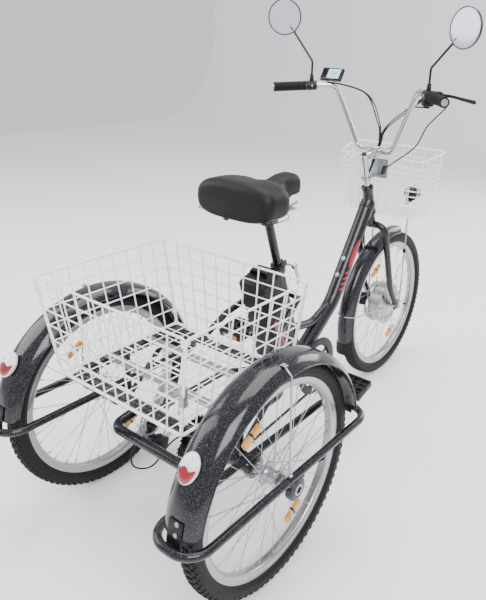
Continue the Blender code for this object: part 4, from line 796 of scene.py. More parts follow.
# ---- rear frame -----------------------------------------------------------------------------------
@dataclass
class Guard:
    """Tube loop round a rear wheel with its two pillow bearings.

    Attributes:
        side: "left" or "right".
        sign: 1 on the left, -1 on the right.
        reach: Half length of the loop.
        inner: X of the inner rail.
        outer: X of the outer rail.
        radius: Tube radius.
    """

    side: str
    sign: int
    reach: float = 0.345
    inner: float = 0.262
    outer: float = 0.393
    radius: float = 0.0105

    def build(self) -> None:
        """Publish the loop, the bearings and the plates that hold the fender."""
        z = WHEEL_R + 0.036
        s = self.sign
        corners = [behind(s * self.outer, self.reach, z), behind(s * self.inner, self.reach, z),
                   behind(s * self.inner, -self.reach, z), behind(s * self.outer, -self.reach, z)]
        loop = Shape().tube(rounded(corners, 0.055, 12, True), self.radius, 20, True)
        for x in (self.inner, self.outer):
            middle = REAR_AXLE + X_AXIS * s * x
            half = 0.0115
            loop.lathe([(0.0092, half), (0.0190, half), (0.0200, half - 0.0012), (0.0270, half - 0.0018),
                        (0.0300, half - 0.0040), (0.0300, 0.0040 - half), (0.0270, 0.0018 - half),
                        (0.0200, 0.0012 - half), (0.0190, -half), (0.0092, -half)], middle, X_AXIS, 48)
            loop.box((0.0180, 0.0560, 0.0070), middle + Vector((0, 0, 0.0245)), edge=0.0020)
        Piece("guard_loop_" + self.side, loop, PAINT, "frame", ("wheel_guard_" + self.side,)).publish()
        seals = Shape()
        for x in (self.inner, self.outer):
            middle = REAR_AXLE + X_AXIS * s * x
            for face in (1, -1):
                seals.lathe([(0.0094, 0.0124), (0.0142, 0.0120), (0.0142, 0.0100), (0.0094, 0.0100)], middle,
                            X_AXIS * face, 40)
        Piece("guard_seals_" + self.side, seals, ZINC, "frame").publish()
        tabs = Shape()
        bolts = Shape()
        for x in (self.inner, self.outer):
            for shift in (-0.021, 0.021):
                bolts.nut(REAR_AXLE + Vector((s * x, shift, 0.0212)), -Z_AXIS, 0.0048, 0.0050)
        wheel = REAR_AXLE + X_AXIS * s * 0.3275
        for flip in (1, -1):
            for degrees in (6.0, 10.0, 14.0):
                angle = math.radians(degrees if flip > 0 else 180 - degrees)
                tabs.box((0.040, 0.0026, 0.026), wheel + radial(angle, 0.3330),
                         Matrix.Rotation(angle, 4, "X"),
                         0.0010, 2)
            for degrees in (10.8, 15.0):
                angle = math.radians(degrees if flip > 0 else 180 - degrees)
                bolts.bolt(wheel + radial(angle, 0.3346, s * 0.004), radial(angle, 1), 0.0044, 0.0030)
        Piece("guard_tabs_" + self.side, tabs, SATIN_BLACK, "frame").publish()
        Piece("guard_bolts_" + self.side, bolts, ZINC, "frame").publish()


@dataclass
class Mudguard:
    """Crowned sheet strip round a wheel, with its edges rolled.

    Attributes:
        name: Its piece's name.
        centre: Wheel middle.
        radius: Radius of its crown.
        width: Its width.
        start: First angle, from the rear horizontal upwards.
        sweep: How far it goes round.
        body: Body that carries it.
        node: CAD node that it stands for.
        sheet: Its thickness.
    """

    name: str
    centre: Vector
    radius: float
    width: float
    start: float
    sweep: float
    body: str
    node: str
    sheet: float = 0.0016

    def surface(self, angle: float, share: float = 0.0, lift: float = 0.0) -> Vector:
        """Point on the outer face.

        Args:
            angle: Place round the wheel.
            share: Place across, from -1 to 1.
            lift: Height over the face.

        Returns:
            The point.
        """
        drop = 0.024 * abs(share) ** 3.2
        return self.centre + radial(angle, self.radius + self.sheet / 2 - drop + lift, share * self.width / 2)

    def build(self) -> None:
        """Publish the sheet."""
        strip = Shape()
        steps = 72
        shares = [math.sin(math.pi / 2 * i / 9) for i in range(-9, 10)]
        rings = []
        for step in range(steps + 1):
            t = step / steps
            gap = min(t, 1 - t) * self.sweep * self.radius
            narrow = 1 - 0.16 * (1 - min(gap / 0.022, 1)) ** 2
            angle = self.start + t * self.sweep
            ring = [strip.bm.verts.new(self.surface(angle, share * narrow)) for share in shares]
            ring += [strip.bm.verts.new(self.surface(angle, share * narrow, -self.sheet))
                     for share in reversed(shares)]
            rings.append(ring)
        strip._rings(rings, False, True)
        for share in (-1, 1):
            edge = [self.surface(self.start + self.sweep * (0.012 + 0.976 * i / 60), share, -0.0008)
                    for i in range(61)]
            strip.tube(edge, 0.0019, 10)
        Piece(self.name, strip, FENDER_PAINT, self.body, (self.node,), 50).publish()


@dataclass
class RearFender:
    """Rear mudguard with its stay and tail lamp."""

    side: str
    sign: int

    def build(self) -> None:
        """Publish sheet, stay, fixings and lamp."""
        centre = REAR_AXLE + X_AXIS * self.sign * TRACK / 2
        guard = Mudguard("fender_sheet_" + self.side, centre, 0.3305, 0.105, math.radians(9.5),
                         math.radians(160.5),
                         "frame", "rear_fender_" + self.side)
        guard.build()
        s = self.sign
        stay = Shape()
        top = guard.surface(math.radians(87), 0.62 * s, 0.0026)
        lip = guard.surface(math.radians(87), 1.03 * s, 0.0030)
        low = REAR_AXLE + Vector((s * 0.393, 0.024, 0.047))
        stay.tube(rounded([top, lip, low + Vector((0, 0, 0.012)), low], 0.010, 6), 0.0026, 12)
        stay.box((0.016, 0.012, 0.003), top + Vector((0, 0, 0.0010)), edge=0.001)
        Piece("fender_stay_" + self.side, stay, ZINC, "frame").publish()
        bolts = Shape()
        bolts.bolt(top + Vector((0, 0, 0.0026)), Z_AXIS, 0.0042, 0.0034)
        bolts.bolt(low + Vector((s * 0.0030, 0, 0.004)), X_AXIS * s, 0.0046, 0.0034)
        Piece("fender_bolts_" + self.side, bolts, CHROME, "frame").publish()
        self._lamp(guard)

    def _lamp(self, guard: Mudguard) -> None:
        angle = math.radians(35)
        outward = radial(angle, 1)
        centre = guard.centre + radial(angle, guard.radius + guard.sheet + 0.0135)
        place = facing(outward, centre, X_AXIS) @ Matrix.Diagonal((1.14, 0.82, 1.0, 1.0))
        domed = [(0, 0.0128)]
        domed += [(0.0262 * math.sin(a), 0.0040 + 0.0088 * math.cos(a)) for a in
                  (math.radians(d) for d in (12, 24, 36, 48, 60, 72, 84))]
        shell = Shape().lathe(domed + [(0.0272, 0.0030), (0.0290, 0.0020), (0.0297, 0.0), (0.0297, -0.0030),
                                       (0.0270, -0.0080), (0.0230, -0.0118), (0, -0.0118)],
                              Vector(), Z_AXIS, 72)
        bmesh.ops.transform(shell.bm, matrix=place, verts=shell.bm.verts)
        Piece("lamp_body_" + self.side, shell, LAMP_WHITE, "frame", ("tail_lamp_" + self.side,)).publish()
        lens = Shape().lathe([(r * 1.012, h + 0.0007) for r, h in domed] + [(0.0276, 0.0030), (0, 0.0030)],
                             Vector(), Z_AXIS, 72)
        down = (facing(outward, Vector(), X_AXIS).inverted() @ -Z_AXIS)
        down.z = 0
        side = down.cross(Z_AXIS).normalized()
        for vert in lens.bm.verts:
            vert.co += down.normalized() * 0.0042 * math.cos(vert.co.dot(side) * 210)
        cut_geom = lens.bm.verts[:] + lens.bm.edges[:] + lens.bm.faces[:]
        cut = bmesh.ops.bisect_plane(lens.bm, geom=cut_geom, plane_co=down.normalized() * 0.001,
                                     plane_no=down, clear_inner=True)
        for vert in lens.bm.verts:
            vert.co -= down.normalized() * 0.0042 * math.cos(vert.co.dot(side) * 210)
        bmesh.ops.holes_fill(lens.bm, edges=[e for e in cut["geom_cut"] if isinstance(e, bmesh.types.BMEdge)])
        bmesh.ops.transform(lens.bm, matrix=place, verts=lens.bm.verts)
        Piece("lamp_lens_" + self.side, lens, RED_LENS, "frame").publish()


@dataclass
class Carriage:
    """Rear carriage: axle housings, posts, upper rectangle, flat bars and bumper.

    Attributes:
        half: Half its width.
        height: Height of its rectangle.
        tube: Radius of the rectangle's tube.
        bars: How far behind the axle each flat bar lies.
    """

    half: float = 0.215
    height: float = 0.463
    tube: float = 0.0125
    bars: tuple[float, float] = (-0.080, 0.060)

    def build(self) -> None:
        """Publish the welded tubes, the flat bars and the bars' bolts."""
        corners = [behind(self.half, 0.160, self.height), behind(-self.half, 0.160, self.height),
                   behind(-self.half, -0.190, self.height), behind(self.half, -0.190, self.height)]
        tubes = Shape().tube(rounded(corners, 0.030, 8, True), self.tube, 24, True)
        bumper = rounded([behind(0.160, 0, 0.303), behind(0.160, 0.100, 0.290), behind(-0.160, 0.100, 0.290),
                          behind(-0.160, 0, 0.303)], 0.030, 8)
        tubes.tube(bumper, 0.014, 24)
        for inner, outer in ((0.100, 0.2502), (-0.105, -0.2502)):
            start, end = sorted((inner, outer))
            tubes.lathe([(0.0090, end - start), (0.0228, end - start), (0.0240, end - start - 0.0012),
                         (0.0240, 0.0012), (0.0228, 0), (0.0090, 0)], behind(start, 0, WHEEL_R), X_AXIS, 48)
        for sign in (1, -1):
            foot = behind(sign * self.half, 0, WHEEL_R)
            tubes.rod(foot, foot + Vector((0, 0, self.height - WHEEL_R)), 0.0115, sides=24)
            tubes.rod(foot + Vector((0, 0, 0.012)), behind(sign * self.half, -0.170, self.height), 0.008,
                      sides=20)
            tubes.lathe([(0.0138, 0.006), (0.0115, 0.011), (0.0115, 0.0), (0.0190, 0.0)],
                        foot + Vector((0, 0, 0.0215)), Z_AXIS, 32)
        bars = Shape()
        for back in self.bars:
            bars.box((2 * self.half + 0.020, 0.030, 0.005), behind(0, back, 0.476), edge=0.0015)
        Piece("carriage_bars", bars, GREY_STEEL, "frame").publish()
        Piece("carriage_tubes", tubes, PAINT, "frame", ("rear_carriage",)).publish()
        bolts = Shape()
        for back in self.bars:
            for x in (-0.190, -0.060, 0.060, 0.190):
                bolts.nut(behind(x, back, 0.4735), -Z_AXIS, 0.0050, 0.0050)
                bolts.rod(behind(x, back, 0.470), behind(x, back, 0.462), 0.0024, sides=10)
        Piece("carriage_nuts", bolts, ZINC, "frame").publish()


@dataclass
class WirePanel:
    """Flat grid of welded wires between four corners.

    Attributes:
        name: Its piece's name.
        corners: Lower left, lower right, upper right and upper left corner.
        columns: Wires that go up.
        rows: Wires that go across.
        node: CAD node that it stands for.
        wire: Radius of the grid's wires.
        rim: Radius of the edge wires.
    """

    name: str
    corners: tuple[Vector, Vector, Vector, Vector]
    columns: int
    rows: int
    node: str
    wire: float = 0.0021
    rim: float = 0.0032

    def at(self, u: float, v: float) -> Vector:
        """Point on the panel, across and up."""
        a, b, c, d = self.corners
        return a.lerp(b, u).lerp(d.lerp(c, u), v)

    def shape(self) -> Shape:
        """Make the grid.

        Returns:
            Its shape.
        """
        grid = Shape()
        a, b, c, d = self.corners
        normal = (b - a).cross(d - a).normalized()
        for index in range(1, self.columns):
            u = index / self.columns
            grid.rod(self.at(u, 0), self.at(u, 1), self.wire, sides=8)
        for index in range(1, self.rows):
            v = index / self.rows
            lift = normal * self.wire * 1.7
            grid.rod(self.at(0, v) + lift, self.at(1, v) + lift, self.wire, sides=8)
        grid.tube(rounded([a, b, c, d], 0.010, 5, True), self.rim, 12, True)
        return grid

    def build(self) -> None:
        """Publish the grid."""
        Piece(self.name, self.shape(), WIRE_WHITE, "frame", (self.node,)).publish()


@dataclass
class RearBasket:
    """Folding wire basket: a floor and four walls hooked at the corners.

    Attributes:
        low: Half its width at the floor.
        high: Half its width at the top.
        foot: Height of its floor.
        top: Height of its rim.
        front: Front wall, behind the axle.
        rear_low: Foot of the rear wall.
        rear_high: Top of the rear wall.
    """

    low: float = 0.220
    high: float = 0.266
    foot: float = 0.4815
    top: float = 0.7425
    front: float = -0.200
    rear_low: float = 0.200
    rear_high: float = 0.222

    def build(self) -> None:
        """Publish floor, walls, hooks and the corner block."""
        z = self.foot - 0.0006
        low, front, rear = self.low - 0.004, self.front + 0.004, self.rear_low - 0.004
        floor = (behind(-low, front, z), behind(low, front, z), behind(low, rear, z), behind(-low, rear, z))
        WirePanel("basket_grid_floor", floor, 11, 9, "basket_floor", 0.0018, 0.0024).build()
        for side, sign in SIDES:
            wall = (behind(sign * self.low, self.front, self.foot),
                    behind(sign * self.low, self.rear_low, self.foot),
                    behind(sign * self.high, self.rear_high, self.top),
                    behind(sign * self.high, self.front, self.top))
            WirePanel("basket_grid_" + side, wall, 9, 6, "basket_wall_" + side).build()
        for name, bottom, high in (("front", self.front, self.front),
                                   ("rear", self.rear_low, self.rear_high)):
            wall = (behind(0.003 - self.low, bottom, self.foot), behind(self.low - 0.003, bottom, self.foot),
                    behind(self.high - 0.003, high, self.top), behind(0.003 - self.high, high, self.top))
            WirePanel("basket_grid_" + name, wall, 10, 6, "basket_wall_" + name).build()
        hooks = Shape()
        for sign in (1, -1):
            for bottom, high in ((self.front, self.front), (self.rear_low, self.rear_high)):
                for level in (0.14, 0.86):
                    x = sign * (self.low + (self.high - self.low) * level)
                    spot = behind(x, bottom + (high - bottom) * level,
                                  self.foot + (self.top - self.foot) * level)
                    ring = [spot + Vector((0.0072 * math.cos(TAU * i / 16), 0.0072 * math.sin(TAU * i / 16),
                                           0.0016 * math.sin(TAU * i / 8))) for i in range(16)]
                    hooks.tube(ring, 0.0014, 8, True)
        Piece("basket_hooks", hooks, WIRE_WHITE, "frame").publish()
        block = Shape()
        share = 0.42
        corner = behind(-(self.low + (self.high - self.low) * share) + 0.004,
                        self.rear_low + (self.rear_high - self.rear_low) * share - 0.004,
                        self.foot + (self.top - self.foot) * share)
        block.box((0.016, 0.016, 0.050), corner, edge=0.004)
        Piece("basket_corner_blocks", block, GREY_STEEL, "frame").publish()


# ---- main frame, battery and seat -----------------------------------------------------------------
@dataclass
class MainFrame:
    """Step-through frame with its headset, decal and fixings.

    Attributes:
        main: Radius of the main tube.
        branch: Radius of the branch tube.
        stay: Radius of the stays.
    """

    main: float = 0.027
    branch: float = 0.014
    stay: float = 0.010
    path: list[Vector] = field(default_factory=list)

    def build(self) -> None:
        """Publish the tubes and what is on them."""
        corner = BB + Vector((0, -0.200, 0.147))
        self.path = rounded([steer(0.50475, 0.002), corner, BB + Vector((0, -0.004, 0.003))], 0.160, 28)
        self._tubes()
        self._headset()
        self._decal()
        self._fixings()

    def _tubes(self) -> None:
        tubes = Shape().tube(self.path, self.main, 40)
        tubes.lathe([(0.0150, 0.115), (0.0212, 0.115), (0.0218, 0.112), (0.0212, 0.106), (0.0200, 0.103),
                     (0.0200, 0.012), (0.0212, 0.009), (0.0218, 0.003), (0.0212, 0.0), (0.0150, 0.0)],
                    steer(HEAD_LOW), STEER_DIR, 48)
        branch = smooth([BB + Vector((0, -0.190, 0.146)), BB + Vector((0, -0.129, 0.128)),
                         BB + Vector((0, -0.070, 0.112)), seat(0.140, 0.002)], 10)
        tubes.tube(branch, self.branch, 24)
        tubes.lathe([(0.0139, 0.396), (0.0175, 0.396), (0.0175, 0.0), (0.0139, 0.0)], seat(0.004), SEAT_DIR,
                    40)
        tubes.lathe([(0.0165, 0.068), (0.0205, 0.068), (0.0210, 0.0665), (0.0210, 0.0015), (0.0205, 0.0),
                     (0.0165, 0.0)], BB - X_AXIS * 0.034, X_AXIS, 48)
        for _, sign in SIDES:
            x = sign * 0.112
            lower = rounded([BB + Vector((sign * 0.022, 0.004, 0.001)),
                             BB + Vector((sign * 0.036, 0.120, 0.003)),
                             behind(x, -0.300, WHEEL_R), behind(x, -0.0243, WHEEL_R)], 0.060, 10)
            upper = rounded([seat(0.300, 0.002, sign * 0.006), seat(0.297, 0.010, sign * 0.070),
                             behind(sign * 0.105, -0.300, 0.513), behind(sign * 0.115, -0.220, 0.463),
                             behind(sign * 0.115, -0.2028, 0.463)], 0.014, 8)
            tubes.tube(lower, self.stay, 20)
            tubes.tube(upper, self.stay, 20)
        start = self.path[0]
        along = (self.path[1] - start).normalized()
        tubes.lathe([(self.main, 0.0300), (self.main + 0.0016, 0.0270), (self.main + 0.0022, 0.0240),
                     (self.main + 0.0010, 0.0180), (0.010, 0.0180), (0.010, 0.0300)], start, along, 40)
        Piece("frame_tubes", tubes, PAINT, "frame", ("main_frame",)).publish()

    def _headset(self) -> None:
        cups = Shape()
        for foot, up in ((steer(HEAD_TOP), STEER_DIR), (steer(HEAD_LOW), -STEER_DIR)):
            cups.lathe([(0.0150, 0.0100), (0.0185, 0.0100), (0.0195, 0.0085), (0.0222, 0.0065),
                        (0.0226, 0.0030),
                        (0.0226, -0.0020), (0.0214, -0.0030), (0.0150, -0.0030)], foot - up * 0.0070, up, 48)
        Piece("headset_cups", cups, GLOSS_BLACK, "frame").publish()

    def _along(self, distance: float) -> tuple[Vector, Vector]:
        """Point of the main tube's middle line at a distance from its head end, and the direction there."""
        left = distance
        for here, after in zip(self.path, self.path[1:]):
            piece = (after - here).length
            if left <= piece:
                return here.lerp(after, left / piece), (after - here).normalized()
            left -= piece
        return self.path[-1], (self.path[-1] - self.path[-2]).normalized()

    def _patch(self, shape: Shape, start: float, length: float, turn: float, width: Callable[[float], float],
               slant: float, side: int) -> None:
        """Thin raised patch on the tube's side.

        Args:
            shape: Shape that takes it.
            start: Distance of its first end from the tube's head end.
            length: Its length.
            turn: Angle of its middle round the tube, from the side upwards.
            width: Its half width as an angle, for a share 0..1 of its length.
            slant: How far one edge runs ahead of the other.
            side: 1 on the left, -1 on the right.
        """
        steps, rows = 24, 6
        layers = []
        for lift in (0.00035, -0.0003):
            grid = []
            for i in range(steps + 1):
                t = i / steps
                line = []
                for j in range(rows + 1):
                    spread = (2 * j / rows - 1)
                    centre, along = self._along(start + t * length + spread * slant)
                    up = (along.cross(X_AXIS)).normalized()
                    if up.z < 0:
                        up = -up
                    angle = turn + spread * width(t)
                    out = X_AXIS * side * math.cos(angle) + up * math.sin(angle)
                    line.append(shape.bm.verts.new(centre + out * (self.main + lift)))
                grid.append(line)
            layers.append(grid)
        top, low = layers
        for i in range(steps):
            for j in range(rows):
                shape.bm.faces.new((top[i][j], top[i + 1][j], top[i + 1][j + 1], top[i][j + 1]))
                shape.bm.faces.new((low[i][j], low[i][j + 1], low[i + 1][j + 1], low[i + 1][j]))
        for j in range(rows):
            for i, flip in ((0, False), (steps, True)):
                ring = (top[i][j], top[i][j + 1], low[i][j + 1], low[i][j])
                shape.bm.faces.new(ring if flip else tuple(reversed(ring)))
        for i in range(steps):
            for j, flip in ((0, True), (rows, False)):
                ring = (top[i][j], top[i + 1][j], low[i + 1][j], low[i][j])
                shape.bm.faces.new(ring if flip else tuple(reversed(ring)))

    def _decal(self) -> None:
        paint = Shape()
        for side in (1, -1):
            self._patch(paint, 0.150, 0.110, 0.30, lambda t: 0.05 + 0.36 * math.sin(math.pi * t) ** 0.7,
                        0.004, side)
            for index in range(4):
                self._patch(paint, 0.274 + 0.021 * index, 0.0105, 0.26, lambda t: 0.36, 0.006, side)
        Piece("tube_decal", paint, DECAL_RED, "frame").publish()

    def _fixings(self) -> None:
        bolts = Shape()
        for distance in (0.236, 0.300):
            centre, along = self._along(distance)
            up = along.cross(X_AXIS).normalized()
            up = up if up.z > 0 else -up
            bolts.bolt(centre + up * (self.main + 0.0005), up, 0.0056, 0.0042)
        for share in (0.20, 0.36):
            bolts.bolt(seat(share, -0.0178), -SEAT_BACK, 0.0044, 0.0034)
        Piece("frame_bolts", bolts, CHROME, "frame").publish()


@dataclass
class Battery:
    """Battery case behind the seat tube, its handle, lock and dock.

    Attributes:
        depth: Front to back.
        width: Side to side.
        length: Along the seat tube.
        start: Where it stands along the seat tube.
        back: Its middle behind the seat tube's axis.
    """

    depth: float = 0.104
    width: float = 0.098
    length: float = 0.355
    start: float = 0.078
    back: float = 0.0175 + 0.0003 + 0.014 + 0.0003 + 0.052

    def at(self, along: float, back: float = 0.0, x: float = 0.0) -> Vector:
        """Point in the case, from its foot and from its middle plane."""
        return seat(self.start + along, self.back + back, x)

    def build(self) -> None:
        """Publish the case and what is on it."""
        turn = facing(SEAT_DIR, Vector(), X_AXIS)
        case = Shape()
        case.box((self.depth, self.width, self.length - 0.018), self.at(self.length / 2 - 0.009), turn,
                 0.014, 5)
        case.box((self.depth - 0.010, self.width - 0.010, 0.030), self.at(self.length - 0.030), turn, 0.012,
                 4)
        for x in (-1, 1):
            case.box((self.depth * 0.64, 0.0022, self.length * 0.62),
                     self.at(self.length * 0.44, 0.002, x * self.width / 2), turn, 0.0010, 2)
        Piece("battery_case", case, SATIN_BLACK, "battery", ("battery",)).publish()
        seam = Shape()
        b, x = self.depth / 2 - 0.0006, self.width / 2 - 0.0006
        outline = [self.at(0, -b, -x), self.at(0, b, -x), self.at(0, b, x), self.at(0, -b, x)]
        for level in (0.052, self.length - 0.048):
            seam.tube(rounded([p + SEAT_DIR * level for p in outline], 0.0135, 6, True), 0.0012, 8, True)
        Piece("battery_seams", seam, GLOSS_BLACK, "battery").publish()
        handle = Shape()
        low = self.length - 0.020
        top = self.length - 0.0052
        legs = [self.at(low, -0.006, -0.030), self.at(top, -0.006, -0.030), self.at(top, -0.006, 0.030),
                self.at(low, -0.006, 0.030)]
        section = [(-0.0110, -0.0042), (-0.0060, -0.0050), (0.0060, -0.0050), (0.0110, -0.0042),
                   (0.0110, 0.0042), (0.0060, 0.0050), (-0.0060, 0.0050), (-0.0110, 0.0042)]
        handle.sweep(rounded(legs, 0.0085, 8), section, X_AXIS)
        Piece("battery_handle", handle, GLOSS_BLACK, "battery").publish()
        mark = Shape()
        for sign in (1, -1):
            for index in range(3):
                spot = self.at(0.120, 0.030 - 0.017 * index, sign * (self.width / 2 + 0.0012))
                mark.box((0.0130 - 0.003 * index, 0.0008, 0.150 - 0.030 * index), spot, turn, 0.0003, 1)
        Piece("battery_mark", mark, DECAL_RED, "battery").publish()
        lock = Shape()
        lock.lathe([(0, 0.0042), (0.0062, 0.0042), (0.0078, 0.0026), (0.0078, 0), (0, 0)],
                   self.at(self.length - 0.066, -0.018, 0.0492), X_AXIS, 32)
        lock.lathe([(0, 0.0048), (0.0040, 0.0048), (0.0040, 0), (0, 0)], self.at(0.105, -0.030, 0.0496),
                   X_AXIS, 24)
        Piece("battery_lock", lock, CHROME, "battery").publish()
        dock = Shape()
        dock.box((0.014, 0.046, 0.270), seat(0.231, 0.0248), turn, 0.003, 3)
        Piece("battery_rail", dock, SATIN_BLACK, "frame", ("battery_dock",)).publish()


@dataclass
class SeatMount:
    """Seat clamp with its quick lever, the post, and the saddle's hinge and release lever.

    Attributes:
        post: Radius of the post.
        top: Its top, along the seat tube.
    """

    post: float = 0.0136
    top: float = 0.555

    def build(self) -> None:
        """Publish clamp, lever, post, deck and release lever."""
        low = 0.373
        inner = 0.0178
        clamp = Shape().lathe([(inner, 0.027), (0.0222, 0.027), (0.0230, 0.0258), (0.0230, 0.0012),
                               (0.0222, 0.0), (inner, 0.0)], seat(low), SEAT_DIR, 48)
        bolt = seat(low + 0.0135, -inner - 0.0095)
        turn = facing(SEAT_DIR, Vector(), X_AXIS)
        for x in (-0.0065, 0.0065):
            clamp.box((0.015, 0.0075, 0.020), bolt + SEAT_BACK * 0.001 + X_AXIS * x, turn, 0.0015, 3)
        Piece("clamp_band", clamp, PAINT, "frame", ("seat_clamp",)).publish()
        skewer = Shape()
        skewer.rod(bolt - X_AXIS * 0.038, bolt + X_AXIS * 0.014, 0.0026, sides=16)
        skewer.lathe([(0, 0.010), (0.0062, 0.009), (0.0072, 0.006), (0.0078, 0), (0, 0)],
                     bolt + X_AXIS * 0.0120,
                     X_AXIS, 24)
        Piece("clamp_skewer", skewer, ZINC, "frame").publish()
        cam = bolt - X_AXIS * 0.0443
        lever = Shape().rod(cam - SEAT_BACK * 0.009, cam + SEAT_BACK * 0.009, 0.006, sides=28,
                            round_edge=0.001)
        blade = smooth([cam, cam - SEAT_DIR * 0.020 - X_AXIS * 0.003, cam - SEAT_DIR * 0.045 - X_AXIS * 0.004,
                        cam - SEAT_DIR * 0.069], 8)
        scales = [0.75 + 0.35 * math.sin(math.pi * i / (len(blade) - 1)) for i in range(len(blade))]
        flat = [(0.0068 * math.cos(TAU * i / 16), 0.0034 * math.sin(TAU * i / 16)) for i in range(16)]
        lever.sweep(blade, flat, X_AXIS, scales=scales)
        Piece("quick_lever", lever, CHROME, "seat_lever", ("seat_lever",)).publish()
        self._post()

    def _post(self) -> None:
        top = seat(self.top)
        hinge = top + Vector((0, -0.036, 0.016))
        post = Shape().rod(seat(0.190), top, self.post, sides=40)
        post.box((0.022, 0.060, 0.022), top + Vector((0, -0.006, 0)), edge=0.004)
        post.lathe([(0.0036, 0.024), (0.0078, 0.024), (0.0085, 0.023), (0.0085, 0.001), (0.0078, 0),
                    (0.0036, 0)],
                   hinge - X_AXIS * 0.012, X_AXIS, 28)
        Piece("post_tube", post, PAINT, "seat_post", ("seat_post",)).publish()
        deck_z = hinge.z + 0.0115
        deck = Shape().box((0.086, 0.175, 0.005), Vector((0, top.y + 0.004, deck_z + 0.0025)), edge=0.002)
        for sign in (1, -1):
            deck.box((0.005, 0.018, 0.023), Vector((sign * 0.0155, hinge.y, hinge.z + 0.002)), edge=0.0018)
            rail = smooth([Vector((sign * 0.022, top.y - 0.110, deck_z + 0.016)),
                           Vector((sign * 0.024, top.y - 0.060, deck_z + 0.006)),
                           Vector((sign * 0.030, top.y + 0.040, deck_z + 0.006)),
                           Vector((sign * 0.052, top.y + 0.105, deck_z + 0.020))], 6)
            deck.tube(rail, 0.0034, 12)
        deck.rod(hinge - X_AXIS * 0.0205, hinge + X_AXIS * 0.0205, 0.0030, sides=16)
        Piece("saddle_deck", deck, GREY_STEEL, "saddle", ("saddle_base",)).publish()
        root = Vector((0.032, top.y + 0.050, deck_z - 0.006))
        arm = smooth([root, root + Vector((0.020, 0.014, -0.004)), root + Vector((0.044, 0.040, -0.004))], 8)
        release = Shape().tube(arm, 0.0036, 14)
        release.rod(root - Z_AXIS * 0.006, root + Z_AXIS * 0.0052, 0.0080, sides=28, round_edge=0.0012)
        release.ball(0.0096, root + Vector((0.048, 0.044, -0.008)), Vector((1, 1, 0.9)), 20)
        Piece("release_lever", release, GLOSS_BLACK, "saddle_lever", ("saddle_lever",)).publish()


@dataclass
class Saddle:
    """Wide padded saddle: an upholstered top over a plastic shell.

    Attributes:
        width: Across its wings.
        length: Nose to tail.
        height: At its highest.
        rear: Y of its tail.
        foot: Height of its underside.
    """

    width: float = 0.270
    length: float = 0.292
    height: float = 0.112
    rear: float = 0.0
    foot: float = 0.0

    def half_width(self, t: float) -> float:
        """Half its width at a share of its length from the tail."""
        wing = 0.5 * (1 + math.cos(math.pi * min(max((t - 0.26) / 0.44, 0), 1)))
        return self.width / 2 * (0.30 + 0.70 * wing)

    def top(self, t: float) -> float:
        """Height of its middle line over its foot."""
        dish = -0.024 * math.exp(-((t - 0.58) / 0.17) ** 2)
        nose = -0.010 * min(max((t - 0.60) / 0.25, 0), 1)
        return self.height - 0.002 + dish + nose

    def floor(self, t: float) -> float:
        """Height of its lower edge over its foot."""
        return 0.002 + 0.030 * min(max((t - 0.45) / 0.35, 0), 1) ** 1.5

    def inset(self, t: float) -> float:
        """How far the section draws in at the tail and at the nose."""
        gap = min(t, 1 - t) * self.length
        edge = 0.030 if t < 0.5 else 0.036
        if gap >= edge:
            return 0.0
        return edge * (1 - math.sqrt(1 - (1 - gap / edge) ** 2))

    def section(self, t: float, columns: int) -> list[Vector]:
        """Points round it at a share of its length."""
        draw = self.inset(t)
        half = self.half_width(t) - draw * (0.85 if t > 0.5 else 1.0)
        high, low = self.top(t) - draw * 0.9, self.floor(t) + draw * 0.25
        middle, rise = (high + low) / 2, (high - low) / 2
        loop = []
        for j in range(columns):
            a = TAU * j / columns
            c, s = math.cos(a), math.sin(a)
            across = math.copysign(abs(c) ** 0.62, c)
            up = math.copysign(abs(s) ** 0.66, s)
            x = across * half * (1.0 - 0.07 * max(up, 0) ** 2)
            z = middle + rise * up
            if s > 0:
                z -= 0.0050 * math.exp(-(across / 0.15) ** 2) * math.exp(-((t - 0.45) / 0.25) ** 2)
            loop.append(Vector((x, self.rear - t * self.length, self.foot + z)))
        return loop

    def build(self) -> None:
        """Publish the padded skin and its lower edge."""
        columns, rings = 44, 56
        skin = Shape()
        shares = [0.5 - 0.5 * math.cos(math.pi * (0.03 + 0.94 * i / rings)) for i in range(rings + 1)]
        low, high = shares[0], shares[-1]
        loops = []
        for share in shares:
            t = (share - low) / (high - low)
            loops.append([skin.bm.verts.new(p) for p in self.section(min(max(t, 0.0005), 0.9995), columns)])
        skin._rings(loops, False, True)
        pad = Piece("saddle_padding", skin, SKIN, "saddle", ("saddle",), 75).publish()
        line = []
        for i in range(2, 46):
            t = i / 48
            half = (self.half_width(t) - self.inset(t)) * 0.985
            line.append(Vector((half, self.rear - t * self.length, self.foot + self.floor(t) + 0.0125)))
        seam = Shape().tube(line + [Vector((-p.x, p.y, p.z)) for p in reversed(line)], 0.0013, 8, True)
        Piece("saddle_piping", seam, GLOSS_BLACK, "saddle").publish()


# ---- drive ----------------------------------------------------------------------------------------
def pitch_radius(teeth: int) -> float:
    """Radius on which a sprocket carries its chain's pins."""
    return 0.0127 / 2 / math.sin(math.pi / teeth)


